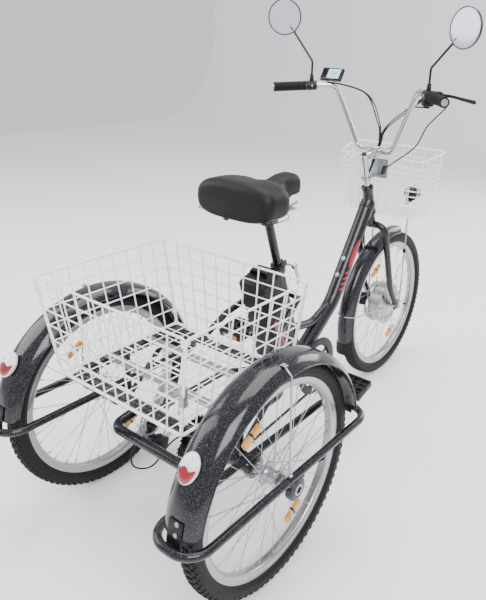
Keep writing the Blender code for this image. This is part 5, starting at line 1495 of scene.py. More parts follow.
@dataclass
class ChainLine:
    """Chain, cassette and derailleur.

    Attributes:
        x: Where the chain runs.
        ring: Teeth of the chainring.
        cogs: Teeth of the cogs, from the inside out.
        used: Which cog the chain is on.
        pulley: Teeth of the derailleur's pulleys.
    """

    x: float = -0.075
    ring: int = 44
    cogs: tuple[int, ...] = (28, 24, 22, 20, 18, 16, 14)
    used: int = 3
    pulley: int = 11

    def places(self) -> list[tuple[float, float, float, int]]:
        """Circles that the chain wraps: ahead of the axle, up, radius and sense."""
        cog = pitch_radius(self.cogs[self.used])
        pulley = pitch_radius(self.pulley)
        drop = -cog - pulley - 0.014
        return [(0, 0, cog, 1), (0.545, -0.013, pitch_radius(self.ring), 1), (0.022, drop - 0.056, pulley, 1),
                (0.006, drop, pulley, -1)]

    def route(self) -> list[Vector]:
        """Chain's middle line, with a point at every few millimetres."""
        stops = self.places()
        count = len(stops)
        headings = []
        for i in range(count):
            y0, z0, r0, s0 = stops[i]
            y1, z1, r1, s1 = stops[(i + 1) % count]
            reach = math.hypot(y1 - y0, z1 - z0)
            headings.append(math.atan2(z1 - z0, y1 - y0) - math.asin((s0 * r0 - s1 * r1) / reach))
        path = []
        for i in range(count):
            y, z, radius, sense = stops[i]
            first = headings[i - 1] + sense * math.pi / 2
            last = headings[i] + sense * math.pi / 2
            wrap = (first - last) * sense % TAU
            steps = max(6, round(wrap / math.radians(6)))
            for step in range(steps + 1):
                angle = first - sense * wrap * step / steps
                path.append(Vector((self.x, REAR_Y - (y + radius * math.cos(angle)),
                                    WHEEL_R + z + radius * math.sin(angle))))
        return path

    def build(self) -> None:
        """Publish chain, cassette and derailleur."""
        self._chain()
        self._cassette()
        self._derailleur()

    def _chain(self) -> None:
        route = self.route()
        route.append(route[0])
        spans = [(b - a).length for a, b in zip(route, route[1:])]
        total = sum(spans)
        links = round(total / 0.0127 / 2) * 2
        pitch = total / links
        pins = []
        walked, index = 0.0, 0
        for link in range(links):
            target = link * pitch
            while walked + spans[index] < target:
                walked += spans[index]
                index += 1
            pins.append(route[index].lerp(route[index + 1], (target - walked) / spans[index]))
        chain = Shape()
        wide = [(0.0038 * math.cos(TAU * i / 8), 0.0038 * math.sin(TAU * i / 8)) for i in range(8)]
        half = pitch / 2
        outline = [(y + half, z) for y, z in wide[6:] + wide[:3]]
        outline += [(0.0, 0.0027)]
        outline += [(y - half, z) for y, z in wide[2:7]] + [(0.0, -0.0027)]
        for i, here in enumerate(pins):
            after = pins[(i + 1) % links]
            along = (after - here).normalized()
            up = X_AXIS.cross(along)
            gap = 0.0031 if i % 2 else 0.0021
            for side in (1, -1):
                centre = (here + after) / 2 + X_AXIS * side * gap
                frame = Matrix((along, up, X_AXIS)).transposed().to_4x4()
                chain.plate(outline, 0.0009, Matrix.Translation(centre) @ frame)
            chain.rod(here - X_AXIS * 0.0038, here + X_AXIS * 0.0038, 0.0018, sides=8)
        Piece("chain_links", chain, DARK_STEEL, "frame", ("drive_chain",)).publish()
        LOG.info("chain: %d links", links)

    def _cassette(self) -> None:
        cassette = Shape()
        for index, teeth in enumerate(self.cogs):
            x = self.x + (self.used - index) * 0.005
            radius = pitch_radius(teeth)
            rim = toothed(teeth, radius - 0.0032, radius + 0.0026)
            bore = circle(len(rim), 0.0195, 0.125)
            bore = [(0.0195 * math.cos(math.atan2(b, a)), 0.0195 * math.sin(math.atan2(b, a))) for a,
                    b in rim]
            cassette.ring_plate(rim, bore, 0.0018, facing(X_AXIS, REAR_AXLE + X_AXIS * x))
        cassette.lathe([(0.0132, 0.0345), (0.0200, 0.0345), (0.0200, 0.0015), (0.0165, 0.0), (0.0132, 0.0)],
                       REAR_AXLE - X_AXIS * 0.0925, X_AXIS, 48)
        Piece("cassette", cassette, DARK_STEEL, "freewheel", ("sprocket",), 25).publish()

    def _derailleur(self) -> None:
        spots = [REAR_AXLE + Vector((0, -ahead, up)) for ahead, up, _, _ in self.places()[:1:-1]]
        guide, tension = spots
        cage = Shape()
        wheels = Shape()
        outer = self.x - 0.0078
        for x in (outer, self.x + 0.0062):
            shift = X_AXIS * (x - self.x)
            for spot in spots:
                cage.rod(spot + shift - X_AXIS * 0.0009, spot + shift + X_AXIS * 0.0009, 0.0105, sides=28)
            middle = (guide + tension) / 2 + shift
            cage.box((0.0130, 0.0018, (tension - guide).length), middle,
                     facing(tension - guide, Vector(), X_AXIS), 0.0004, 1)
        for spot in spots:
            wheels.ring_plate(toothed(self.pulley, 0.0185, 0.0232), circle(self.pulley * 4, 0.0050, 0.125),
                              0.0022,
                              facing(X_AXIS, spot))
            wheels.rod(spot - X_AXIS * 0.0095, spot + X_AXIS * 0.0085, 0.0034, sides=12)
        Piece("derailleur_pulleys", wheels, SATIN_BLACK, "frame").publish()
        hanger_x = -0.105 - 0.006
        top = WHEEL_R - 0.0243
        cage.box((0.006, 0.020, top - guide.z + 0.012),
                 Vector((hanger_x, guide.y, (top + guide.z - 0.012) / 2)),
                 edge=0.002)
        cage.rod(Vector((hanger_x - 0.004, guide.y, guide.z + 0.004)), Vector((outer, guide.y, guide.z)),
                 0.0100,
                 sides=28, round_edge=0.0015)
        cage.box((0.016, 0.028, 0.016), Vector((hanger_x + 0.006, guide.y + 0.008, guide.z + 0.012)),
                 Matrix.Rotation(math.radians(-28), 4, "X"), 0.004)
        Piece("derailleur_body", cage, SATIN_BLACK, "frame", ("derailleur",)).publish()


@dataclass
class Cranks:
    """Chainring, guard disc, both arms and both pedals.

    Attributes:
        length: Crank length.
        dip: How far the right crank points below the horizontal.
        plane: X of the arms' middle.
        pedal: Size of a pedal across, along and up.
    """

    length: float = 0.160
    dip: float = math.radians(41)
    plane: float = 0.096
    pedal: tuple[float, float, float] = (0.098, 0.088, 0.026)

    def tip(self, sign: int) -> Vector:
        """Pedal axis of one crank."""
        reach = Vector((0, -math.cos(self.dip), -math.sin(self.dip))) * self.length
        return BB + reach * -sign

    def _arm(self, shape: Shape, sign: int) -> None:
        tip = self.tip(sign) + X_AXIS * sign * self.plane
        root = BB + X_AXIS * sign * self.plane
        path = [root.lerp(tip, i / 12) for i in range(13)]
        scales = [1.22 - 0.34 * (i / 12) for i in range(13)]
        section = [(-0.0100, -0.0040), (-0.0080, -0.0058), (0.0080, -0.0058), (0.0100, -0.0040),
                   (0.0100, 0.0040), (0.0080, 0.0058), (-0.0080, 0.0058), (-0.0100, 0.0040)]
        shape.sweep(path, section, X_AXIS, scales=scales)
        shape.lathe([(0, 0.0066), (0.0130, 0.0066), (0.0142, 0.0052), (0.0142, -0.0052), (0.0130, -0.0066),
                     (0, -0.0066)], root, X_AXIS, 32)
        shape.lathe([(0, 0.0058), (0.0100, 0.0058), (0.0112, 0.0046), (0.0112, -0.0046), (0.0100, -0.0058),
                     (0, -0.0058)], tip, X_AXIS, 28)

    def build(self) -> None:
        """Publish ring, guard, arms and pedals."""
        ring = Shape()
        teeth = 44
        radius = pitch_radius(teeth)
        rim = toothed(teeth, radius - 0.0036, radius + 0.0028)
        inner = [(0.072 * math.cos(math.atan2(b, a)), 0.072 * math.sin(math.atan2(b, a))) for a, b in rim]
        ring.ring_plate(rim, inner, 0.0022, facing(X_AXIS, BB - X_AXIS * 0.075))
        spider = Shape().box((0.0030, 0.062, 0.016), BB + Vector((-0.0765, 0.046, 0)), edge=0.0012,
                             segments=2)
        repeat(ring, spider, 5, BB)
        ring.lathe([(0.0090, 0.0120), (0.0240, 0.0120), (0.0260, 0.0100), (0.0260, 0.0), (0.0090, 0.0)],
                   BB - X_AXIS * 0.0900, X_AXIS, 40)
        Piece("chainring", ring, DARK_STEEL, "crank", ("crankset",), 25).publish()
        guard = Shape().lathe([(0.0740, 0.0016), (0.0990, 0.0016), (0.1010, 0.0006), (0.1010, -0.0006),
                               (0.0990, -0.0016), (0.0740, -0.0016)], BB - X_AXIS * 0.0819, X_AXIS, 96)
        Piece("chain_guard", guard, SATIN_BLACK, "crank").publish()
        spindle = Shape().rod(BB - X_AXIS * 0.0905, BB + X_AXIS * 0.0885, 0.0085, sides=24)
        Piece("crank_spindle", spindle, ZINC, "crank").publish()
        cups = Shape()
        for sign in (1, -1):
            cups.lathe([(0.0090, 0.005), (0.0175, 0.005), (0.0185, 0.004), (0.0200, 0.001), (0.0200, -0.004),
                        (0.0090, -0.004)], BB + X_AXIS * sign * 0.0352, X_AXIS * sign, 40)
        Piece("shell_cups", cups, DARK_STEEL, "frame").publish()
        for side, sign in SIDES:
            arm = Shape()
            self._arm(arm, sign)
            stands = ("left_crank",) if sign > 0 else ()
            Piece("crank_arm_" + side, arm, PAINT, "crank", stands).publish()
            cap = Shape().bolt(BB + X_AXIS * sign * (self.plane + 0.0060), X_AXIS * sign, 0.0072, 0.0030)
            Piece("crank_cap_" + side, cap, SATIN_BLACK, "crank").publish()
            self._pedal(side, sign)

    def _pedal(self, side: str, sign: int) -> None:
        tip = self.tip(sign)
        inner = tip + X_AXIS * sign * (self.plane + 0.0063)
        wide, deep, thick = self.pedal
        middle = inner + X_AXIS * sign * (0.010 + wide / 2)
        tilt = Matrix.Rotation(math.radians(-14), 4, "X")
        place = Matrix.Translation(middle) @ tilt
        body = Shape()
        for along in (-1, 1):
            body.box((wide, 0.0090, thick), place @ Vector((0, along * (deep / 2 - 0.0045), 0)), tilt,
                     0.0028, 3)
            body.box((wide * 0.92, 0.0060, thick * 0.72), place @ Vector((0, along * 0.0205, 0)), tilt,
                     0.002, 2)
        for across in (-0.5, -0.17, 0.17, 0.5):
            body.box((0.0085, deep - 0.006, thick * 0.86), place @ Vector((across * (wide - 0.0085), 0, 0)),
                     tilt,
                     0.002, 2)
        body.rod(place @ Vector((-wide / 2, 0, 0)), place @ Vector((wide / 2, 0, 0)), 0.0098, sides=24)
        for level in (-1, 1):
            for along in (-1, 1):
                for index in range(9):
                    x = (index / 8 - 0.5) * (wide - 0.016)
                    body.box((0.0042, 0.0085, 0.0014),
                             place @ Vector((x, along * (deep / 2 - 0.0050), level * (thick / 2 - 0.0001))),
                             tilt,
                             0.0004, 1)
        Piece("pedal_body_" + side, body, SATIN_BLACK, "pedal_" + side, ("pedal_" + side,)).publish()
        axle = Shape().rod(inner - X_AXIS * sign * 0.0002, inner + X_AXIS * sign * 0.014, 0.0070, sides=20)
        Piece("pedal_axle_" + side, axle, ZINC, "pedal_" + side).publish()
        glow = Shape()
        for along in (-1, 1):
            glow.box((0.058, 0.0030, 0.0150), place @ Vector((0, along * (deep / 2 - 0.0004), 0)), tilt,
                     0.0012, 2)
        Piece("pedal_reflectors_" + side, glow, AMBER, "pedal_" + side).publish()


@dataclass
class RearBrake:
    """Rear axle, brake disc and caliper."""

    reach: float = 0.400
    disc_x: float = 0.073

    def build(self) -> None:
        """Publish axle, disc and caliper with its cable."""
        axle = Shape().rod(REAR_AXLE - X_AXIS * self.reach, REAR_AXLE + X_AXIS * self.reach, 0.0085, sides=32,
                           round_edge=0.001)
        for start, end, radius in ((-0.095, -0.048, 0.0125), (-0.048, 0.052, 0.0145)):
            axle.rod(REAR_AXLE + X_AXIS * start, REAR_AXLE + X_AXIS * end, radius, sides=40)
        axle.lathe([(0, 0.034), (0.0195, 0.034), (0.0200, 0.0330), (0.0200, 0.0220), (0.0150, 0.0180),
                    (0.0145, 0.0), (0, 0.0)], REAR_AXLE + X_AXIS * 0.052, X_AXIS, 48)
        Piece("axle_bar", axle, ZINC, "rear_axle", ("axle_shaft",)).publish()
        disc = Shape()
        Rotor(REAR_AXLE + X_AXIS * self.disc_x).add_to(disc)
        Piece("rear_rotor", disc, ZINC, "rear_axle", (), 30).publish()
        caps = Shape()
        for sign in (1, -1):
            caps.lathe([(0, -0.0006), (0.0130, -0.0006), (0.0145, -0.0030), (0.0150, -0.0110),
                        (0.0088, -0.0110),
                        (0.0088, -0.0060), (0, -0.0060)], REAR_AXLE + X_AXIS * sign * self.reach,
                       X_AXIS * sign, 40)
        Piece("axle_caps", caps, LAMP_WHITE, "rear_axle").publish()
        self._caliper()

    def _caliper(self) -> None:
        angle = math.radians(-72)
        centre = REAR_AXLE + radial(angle, 0.074, self.disc_x)
        turn = Matrix.Rotation(angle, 4, "X")
        body = Shape()
        for shift in (-1, 1):
            body.box((0.0172, 0.034, 0.056), centre + X_AXIS * shift * 0.0114, turn, 0.004)
        body.box((0.040, 0.0080, 0.056), centre + turn @ Vector((0, 0.0130, 0)), turn, 0.003)
        top = WHEEL_R - 0.0243
        height = top - centre.z + 0.010
        body.box((0.010, 0.024, height), behind(0.113, 0.010, top - height / 2), edge=0.002)
        body.box((0.030, 0.024, 0.006), behind(0.103, 0.010, top - 0.003), edge=0.0015)
        body.rod(centre + Vector((0.020, 0, 0)), centre + Vector((0.031, 0, 0)), 0.0125, sides=32,
                 round_edge=0.002)
        body.box((0.006, 0.040, 0.010), centre + Vector((0.028, 0.018, 0.006)),
                 Matrix.Rotation(math.radians(24), 4, "X"), 0.002)
        Piece("rear_caliper_body", body, SATIN_BLACK, "frame", ("rear_caliper",)).publish()
        screws = Shape()
        for shift in (-0.017, 0.017):
            screws.bolt(centre + Vector((0.0200, 0, 0)) + turn @ Vector((0, 0.004, shift)), X_AXIS, 0.0036,
                        0.003)
        Piece("caliper_screws", screws, ZINC, "frame").publish()
        hose = smooth([centre + Vector((0.030, 0.034, 0.014)), centre + Vector((0.026, 0.070, -0.012)),
                       centre + Vector((-0.010, 0.088, -0.026)), centre + Vector((-0.050, 0.060, -0.018)),
                       behind(0.012, 0.020, 0.262), behind(-0.020, -0.060, 0.285),
                       behind(-0.086, -0.130, 0.312),
                       behind(-0.102, -0.300, 0.316)], 8)
        Piece("rear_brake_cable", Shape().tube(hose, 0.0024, 12), CABLE_BLACK, "frame").publish()


# ---- steering -------------------------------------------------------------------------------------
def along_bar(distance: float, sign: int, drop: float = 0.0) -> Vector:
    """Point on the bar's straight end, measured inwards from its tip."""
    return mirrored(BAR_END - GRIP_DIR * distance + Vector((0, 0, -drop)), sign)


@dataclass
class Fork:
    """Fork with its crown, blades, dropouts and axle nuts.

    Attributes:
        spread: X of the blades.
        blade: Radius of the blades.
        crown: Crown's height along the steering axis.
    """

    spread: float = 0.060
    blade: float = 0.012
    crown: float = 0.407

    def build(self) -> None:
        """Publish the fork and its nuts."""
        fork = Shape().rod(steer(self.crown - 0.008), steer(0.564), 0.0140, sides=40)
        fork.lathe([(0.0135, 0.0445), (0.0180, 0.0445), (0.0188, 0.0425), (0.0180, 0.0400), (0.0180, 0.0),
                    (0.0135, 0.0)], steer(self.crown), STEER_DIR, 40)
        for _, sign in SIDES:
            shoulder = rounded([steer(self.crown, 0, sign * 0.004), steer(self.crown, 0, sign * self.spread),
                                steer(0.200, 0.003, sign * self.spread)], 0.036, 10)
            leg = rounded([shoulder[-1], steer(0.120, 0.004, sign * self.spread),
                           FRONT_AXLE + Vector((sign * self.spread, -0.001, -0.004))], 0.200, 14)
            path = shoulder[:-1] + leg[1:]
            scales = [1.12 - 0.22 * i / (len(path) - 1) for i in range(len(path))]
            fork.tube(path, self.blade, 28, scales=scales)
            fork.box((0.0070, 0.034, 0.040), FRONT_AXLE + Vector((sign * self.spread, 0, 0.006)), edge=0.0025)
        Piece("fork_tubes", fork, PAINT, "steering", ("fork",)).publish()
        nuts = Shape().rod(FRONT_AXLE - X_AXIS * 0.0760, FRONT_AXLE + X_AXIS * 0.0760, 0.0058, sides=20)
        for _, sign in SIDES:
            nuts.nut(FRONT_AXLE + X_AXIS * sign * 0.0648, X_AXIS * sign, 0.0105, 0.0080)
            nuts.lathe([(0.0060, 0.0014), (0.0125, 0.0014), (0.0130, 0.0), (0.0060, 0.0)],
                       FRONT_AXLE + X_AXIS * sign * 0.0638, X_AXIS * sign, 28)
        Piece("front_axle_nuts", nuts, ZINC, "steering").publish()


@dataclass
class Bars:
    """Quill stem, clamp and handlebar.

    Attributes:
        radius: Radius of the bar.
        corner: X of its lower corners.
    """

    radius: float = 0.0111
    corner: float = 0.070

    def path(self) -> list[Vector]:
        """Middle line of the bar, right end to left end."""
        left = [mirrored(p, 1) for p in (BAR_CENTRE + X_AXIS * self.corner, BAR_BEND, BAR_END)]
        corners = [mirrored(p, -1) for p in reversed(left)] + left
        return rounded(corners, 0.038, 12)

    def build(self) -> None:
        """Publish stem and bar."""
        top = steer(STEM_TOP)
        stem = Shape().lathe([(0, 0.1150), (0.0060, 0.1150), (0.0125, 0.1130), (0.0125, 0.0), (0, 0.0)],
                             steer(0.5683), STEER_DIR, 40)
        span = top - BAR_CENTRE
        steps = 14
        path = [top + STEER_DIR * -0.004 + (BAR_CENTRE - top) * (i / steps) for i in range(steps + 1)]
        section = [(0.0128 * math.copysign(abs(math.cos(a)) ** 0.7, math.cos(a)),
                    0.0150 * math.copysign(abs(math.sin(a)) ** 0.7, math.sin(a)))
                   for a in (TAU * i / 24 for i in range(24))]
        scales = [1.06 - 0.20 * math.sin(math.pi * i / steps) for i in range(steps + 1)]
        stem.sweep(path, section, Z_AXIS, scales=scales)
        stem.lathe([(0, 0.0170), (0.0135, 0.0170), (0.0155, 0.0150), (0.0160, 0.0), (0, 0.0)],
                   top - STEER_DIR * 0.011, STEER_DIR, 40)
        reach = 0.0210
        stem.lathe([(0.0114, 2 * reach), (0.0155, 2 * reach), (0.0168, 2 * reach - 0.0014), (0.0168, 0.0014),
                    (0.0155, 0.0), (0.0114, 0.0)], BAR_CENTRE - X_AXIS * reach, X_AXIS, 48)
        stem.box((0.026, 0.0120, 0.020), BAR_CENTRE + Vector((0, 0.006, -0.019)), edge=0.003)
        Piece("stem_body", stem, CHROME, "steering", ("stem",)).publish()
        bolts = Shape().lathe([(0, 0.0048), (0.0040, 0.0048), (0.0046, 0.0066), (0.0062, 0.0066),
                               (0.0072, 0.0050),
                               (0.0072, 0), (0, 0)], top + STEER_DIR * 0.0050, STEER_DIR, 24)
        bolts.bolt(BAR_CENTRE + Vector((0, -0.0002, -0.0200)), Vector((0, -1, 0)), 0.0046, 0.0040)
        Piece("stem_bolts", bolts, DARK_STEEL, "steering").publish()
        LOG.info("stem reach %.3f", span.length)
        Piece("bar_tube", Shape().tube(self.path(), self.radius, 32), CHROME, "steering",
              ("handlebar",)).publish()


@dataclass
class Grip:
    """Ribbed rubber sleeve on the bar.

    Attributes:
        name: Its piece's name.
        sign: 1 on the left, -1 on the right.
        near: Its outer end, from the bar's tip.
        far: Its inner end.
        radius: Its radius.
        body: Body that carries it.
        node: CAD node that it stands for.
    """

    name: str
    sign: int
    near: float
    far: float
    radius: float
    body: str
    node: str

    def build(self) -> None:
        """Publish the sleeve."""
        start = along_bar(self.near, self.sign)
        axis = along_bar(self.far, self.sign) - start
        length = axis.length
        bore = 0.0114
        profile = [(bore, length), (self.radius - 0.001, length), (self.radius, length - 0.001),
                   (self.radius, length - 0.005)]
        ribs = int((length - 0.012) / 0.0042)
        pitch = (length - 0.012) / ribs
        for index in range(ribs):
            h = length - 0.006 - index * pitch
            profile += [(self.radius - 0.0013, h - 0.18 * pitch), (self.radius - 0.0013, h - 0.45 * pitch),
                        (self.radius - 0.0001, h - 0.60 * pitch), (self.radius - 0.0001, h - 0.92 * pitch)]
        profile += [(self.radius, 0.0045), (self.radius, 0.001), (self.radius - 0.001, 0.0), (bore, 0.0)]
        sleeve = Shape().lathe(profile, start, axis, 48)
        Piece(self.name, sleeve, RUBBER, self.body, (self.node,), 32).publish()


@dataclass
class BrakeLever:
    """Lever clamp with its yoke, mirror boss and cable exit, and the lever."""

    side: str
    sign: int

    def build(self) -> None:
        """Publish clamp and lever."""
        s = self.sign
        near = 0.1195
        ahead = Vector((GRIP_DIR.y, -GRIP_DIR.x, 0)).normalized()
        middle = along_bar(near + 0.018, 1)
        hinge = middle + ahead * 0.036 + Vector((0, 0, 0.002))
        start = along_bar(near, s)
        axis = along_bar(near + 0.036, s) - start
        clamp = Shape().lathe([(0.0114, 0.036), (0.0150, 0.036), (0.0165, 0.0345), (0.0165, 0.0015),
                               (0.0150, 0.0),
                               (0.0114, 0.0)], start, axis, 40)
        square = Matrix((mirrored(GRIP_DIR, s) * s, mirrored(ahead, s), Z_AXIS)).transposed().to_4x4()
        for level in (0.0091, -0.0091):
            clamp.box((0.026, 0.034, 0.0042), mirrored(middle + ahead * 0.028 + Vector((0, 0,
                                                                                        0.002 + level)), s),
                      square, 0.0018)
        clamp.box((0.028, 0.014, 0.022), mirrored(middle + ahead * 0.0165 + Vector((0, 0, 0.001)), s),
                  square, 0.004)
        boss = mirrored(middle + Vector((0, 0, 0.012)), s)
        clamp.rod(boss, boss + Vector((0, 0, 0.018)), 0.0080, 0.0070, 28, 0.0012)
        barrel = mirrored(hinge - GRIP_DIR * 0.012 + ahead * 0.010, s)
        away = mirrored(-GRIP_DIR * 0.75 + ahead * 0.65, s).normalized()
        clamp.rod(barrel, barrel + away * 0.020, 0.0052, 0.0046, 20, 0.0008)
        if s < 0:
            pod = mirrored(middle - Vector((0, 0, 0.0235)), s)
            clamp.box((0.032, 0.034, 0.020), pod, square, 0.006, 4)
            clamp.box((0.020, 0.022, 0.014), mirrored(middle - Vector((0, 0, 0.016)), s), square, 0.003)
        Piece("lever_clamp_" + self.side, clamp, SATIN_BLACK, "steering",
              ("lever_mount_" + self.side,)).publish()
        blade = smooth([mirrored(hinge, s), mirrored(hinge + Vector((0.040, -0.004, -0.001)), s),
                        mirrored(hinge + Vector((0.085, 0.018, -0.005)), s),
                        mirrored(hinge + Vector((0.132, 0.034, -0.010)), s)], 12)
        count = len(blade)
        scales = [1.0 - 0.24 * math.sin(math.pi * min(i / (count - 1) * 1.1, 1)) for i in range(count)]
        flat = [(0.0062 * math.cos(TAU * i / 20), 0.0036 * math.sin(TAU * i / 20)) for i in range(20)]
        lever = Shape().sweep(blade, flat, ahead, scales=scales)
        lever.ball(0.0062, blade[-1], Vector((1, 1, 1.0)), 20)
        lever.lathe([(0, 0.0110), (0.0075, 0.0110), (0.0085, 0.0100), (0.0085, 0.0010), (0.0075, 0), (0, 0)],
                    mirrored(hinge, s) - Vector((0, 0, 0.0055)), Z_AXIS, 32)
        Piece("lever_blade_" + self.side, lever, SATIN_BLACK, "brake_lever_" + self.side,
              ("brake_lever_" + self.side,)).publish()
        screw = Shape().bolt(mirrored(hinge + Vector((0, 0, 0.0112)), s), Z_AXIS, 0.0040, 0.0026)
        screw.bolt(mirrored(middle - ahead * 0.0160, s), mirrored(-ahead, s), 0.0034, 0.0028)
        Piece("lever_screws_" + self.side, screw, ZINC, "steering").publish()


@dataclass
class ShiftLever:
    """Thumb lever under the right clamp."""

    def build(self) -> None:
        """Publish the thumb lever."""
        foot = along_bar(0.1375, -1) - Vector((0, 0, 0.034))
        hub = Shape().rod(foot - Z_AXIS * 0.006, foot, 0.009, sides=32, round_edge=0.0012)
        middle = foot + Vector((0.018, 0.012, -0.003))
        turn = Matrix.Rotation(math.radians(34), 4, "Z")
        hub.box((0.036, 0.012, 0.004), middle, turn, 0.0018, 4)
        for index in range(4):
            hub.box((0.0010, 0.0090, 0.0010), middle + turn @ Vector((0.006 + 0.0028 * index, 0, 0.0022)),
                    turn,
                    0.0003, 1)
        Piece("shift_thumb", hub, SATIN_BLACK, "shifter", ("shifter_lever",)).publish()


@dataclass
class Mirror:
    """Round mirror on its bent stalk.

    Attributes:
        side: "left" or "right".
        sign: 1 on the left, -1 on the right.
        radius: Radius of the head.
        thick: Thickness of the head.
    """

    side: str
    sign: int
    radius: float = 0.060
    thick: float = 0.014

    def build(self) -> None:
        """Publish stalk, shell and glass."""
        s = self.sign
        boss = mirrored(along_bar(0.1375, 1) + Vector((0, 0, 0.030)), s)
        foot = boss + Z_AXIS * 0.0003
        bend = foot + Z_AXIS * 0.052
        out_by, up_by = (0.071, 0.103) if s > 0 else (0.083, 0.085)
        tip = bend + Vector((s * out_by, 0.028, up_by))
        stalk = Shape().tube(rounded([foot, bend, tip], 0.016, 10), 0.0039, 20)
        stalk.nut(foot + Z_AXIS * 0.0002, Z_AXIS, 0.0076, 0.0065)
        Piece("stalk_rod_" + self.side, stalk, PAINT, "mirror_stalk_" + self.side,
              ("mirror_stalk_" + self.side,)).publish()
        out = (tip - bend).normalized()
        gaze = Vector((-0.26 * s, 0.95, 0.10))
        gaze = (gaze - out * gaze.dot(out)).normalized()
        centre = tip + out * (self.radius - 0.012)
        r, t = self.radius, self.thick
        shell = Shape().lathe([(r - 0.0036, t / 2 - 0.0016), (r - 0.0030, t / 2), (r - 0.0008, t / 2),
                               (r, t / 2 - 0.001),
                               (r - 0.0004, 0.0), (r - 0.004, -0.003), (r * 0.86, -t / 2 + 0.0012),
                               (r * 0.70, -t / 2), (0, -t / 2), (0, t / 2 - 0.0016)], centre, gaze, 72)
        shell.rod(tip - out * 0.004, tip + out * 0.012, 0.0066, sides=24, round_edge=0.001)
        Piece("mirror_shell_" + self.side, shell, GLOSS_BLACK, "mirror_head_" + self.side,
              ("mirror_head_" + self.side,)).publish()
        glass = Shape()
        rings = []
        for step in range(7):
            rings.append(((r - 0.0038) * math.sin(math.pi / 2 * (7 - step) / 7),
                          t / 2 - 0.0014 + 0.0010 * math.cos(
                math.pi / 2 * (7 - step) / 7)))
        glass.lathe([(0, rings[-1][1] + 0.0001)] + list(reversed(rings)) + [(0, t / 2 - 0.0018)], centre,
                    gaze, 72)
        Piece("mirror_pane_" + self.side, glass, GLASS, "mirror_head_" + self.side).publish()


@dataclass
class Display:
    """Display with its screen, bracket and three buttons."""

    def build(self) -> None:
        """Publish case, screen and buttons."""
        centre = BAR_BEND + Vector((0.006, 0.012, 0.034))
        tilt = Matrix.Rotation(math.radians(-58), 4, "X")
        face = tilt @ Z_AXIS
        down = tilt @ Y_AXIS
        case = Shape().box((0.088, 0.050, 0.013), centre - face * 0.0008, tilt, 0.0048, 5)
        case.box((0.058, 0.042, 0.0016), centre + X_AXIS * -0.010 + face * 0.0060, tilt, 0.0007, 2)
        foot = BAR_BEND + Vector((0.003, 0.003, 0.0141))
        case.rod(centre - Z_AXIS * 0.004, foot, 0.0080, sides=24)
        ring = mirrored(BAR_BEND, 1)
        case.box((0.020, 0.026, 0.008), foot + Vector((0, -0.001, 0.001)), edge=0.003)
        LOG.info("display on the bar at %s", tuple(round(v, 3) for v in ring))
        Piece("display_case", case, GLOSS_BLACK, "steering", ("display",)).publish()
        rim = Shape().box((0.0500, 0.0360, 0.0012), centre + X_AXIS * -0.010 + face * 0.0066, tilt, 0.0004, 1)
        Piece("display_rim", rim, SCREEN_RIM, "steering").publish()
        pane = Shape().box((0.0460, 0.0320, 0.0010), centre + X_AXIS * -0.010 + face * 0.0071, tilt, 0.0003,
                           1)
        Piece("display_screen", pane, SCREEN, "steering").publish()
        digits = Shape()
        for index in range(3):
            spot = centre + X_AXIS * (-0.019 + 0.0085 * index) + face * 0.0077
            for across, along, wide, deep in ((0, -0.0060, 0.0050, 0.0010), (0, 0, 0.0050, 0.0010),
                                              (0, 0.0060, 0.0050, 0.0010), (0.0026, 0.003, 0.0009, 0.0052),
                                              (-0.0026, -0.003, 0.0009, 0.0052)):
                digits.box((wide, deep, 0.0003), spot + X_AXIS * across + down * along, tilt)
        Piece("display_digits", digits, DARK_STEEL, "steering").publish()
        for index, name in enumerate(("button_up", "button_power", "button_down")):
            spot = centre + X_AXIS * 0.036 + down * (0.013 * (index - 1)) + face * 0.0060
            cap = Shape().rod(spot + face * 0.0010, spot + face * 0.0036, 0.0038, sides=28, round_edge=0.0008)
            Piece(name + "_cap", cap, RUBBER, name, (name,)).publish()


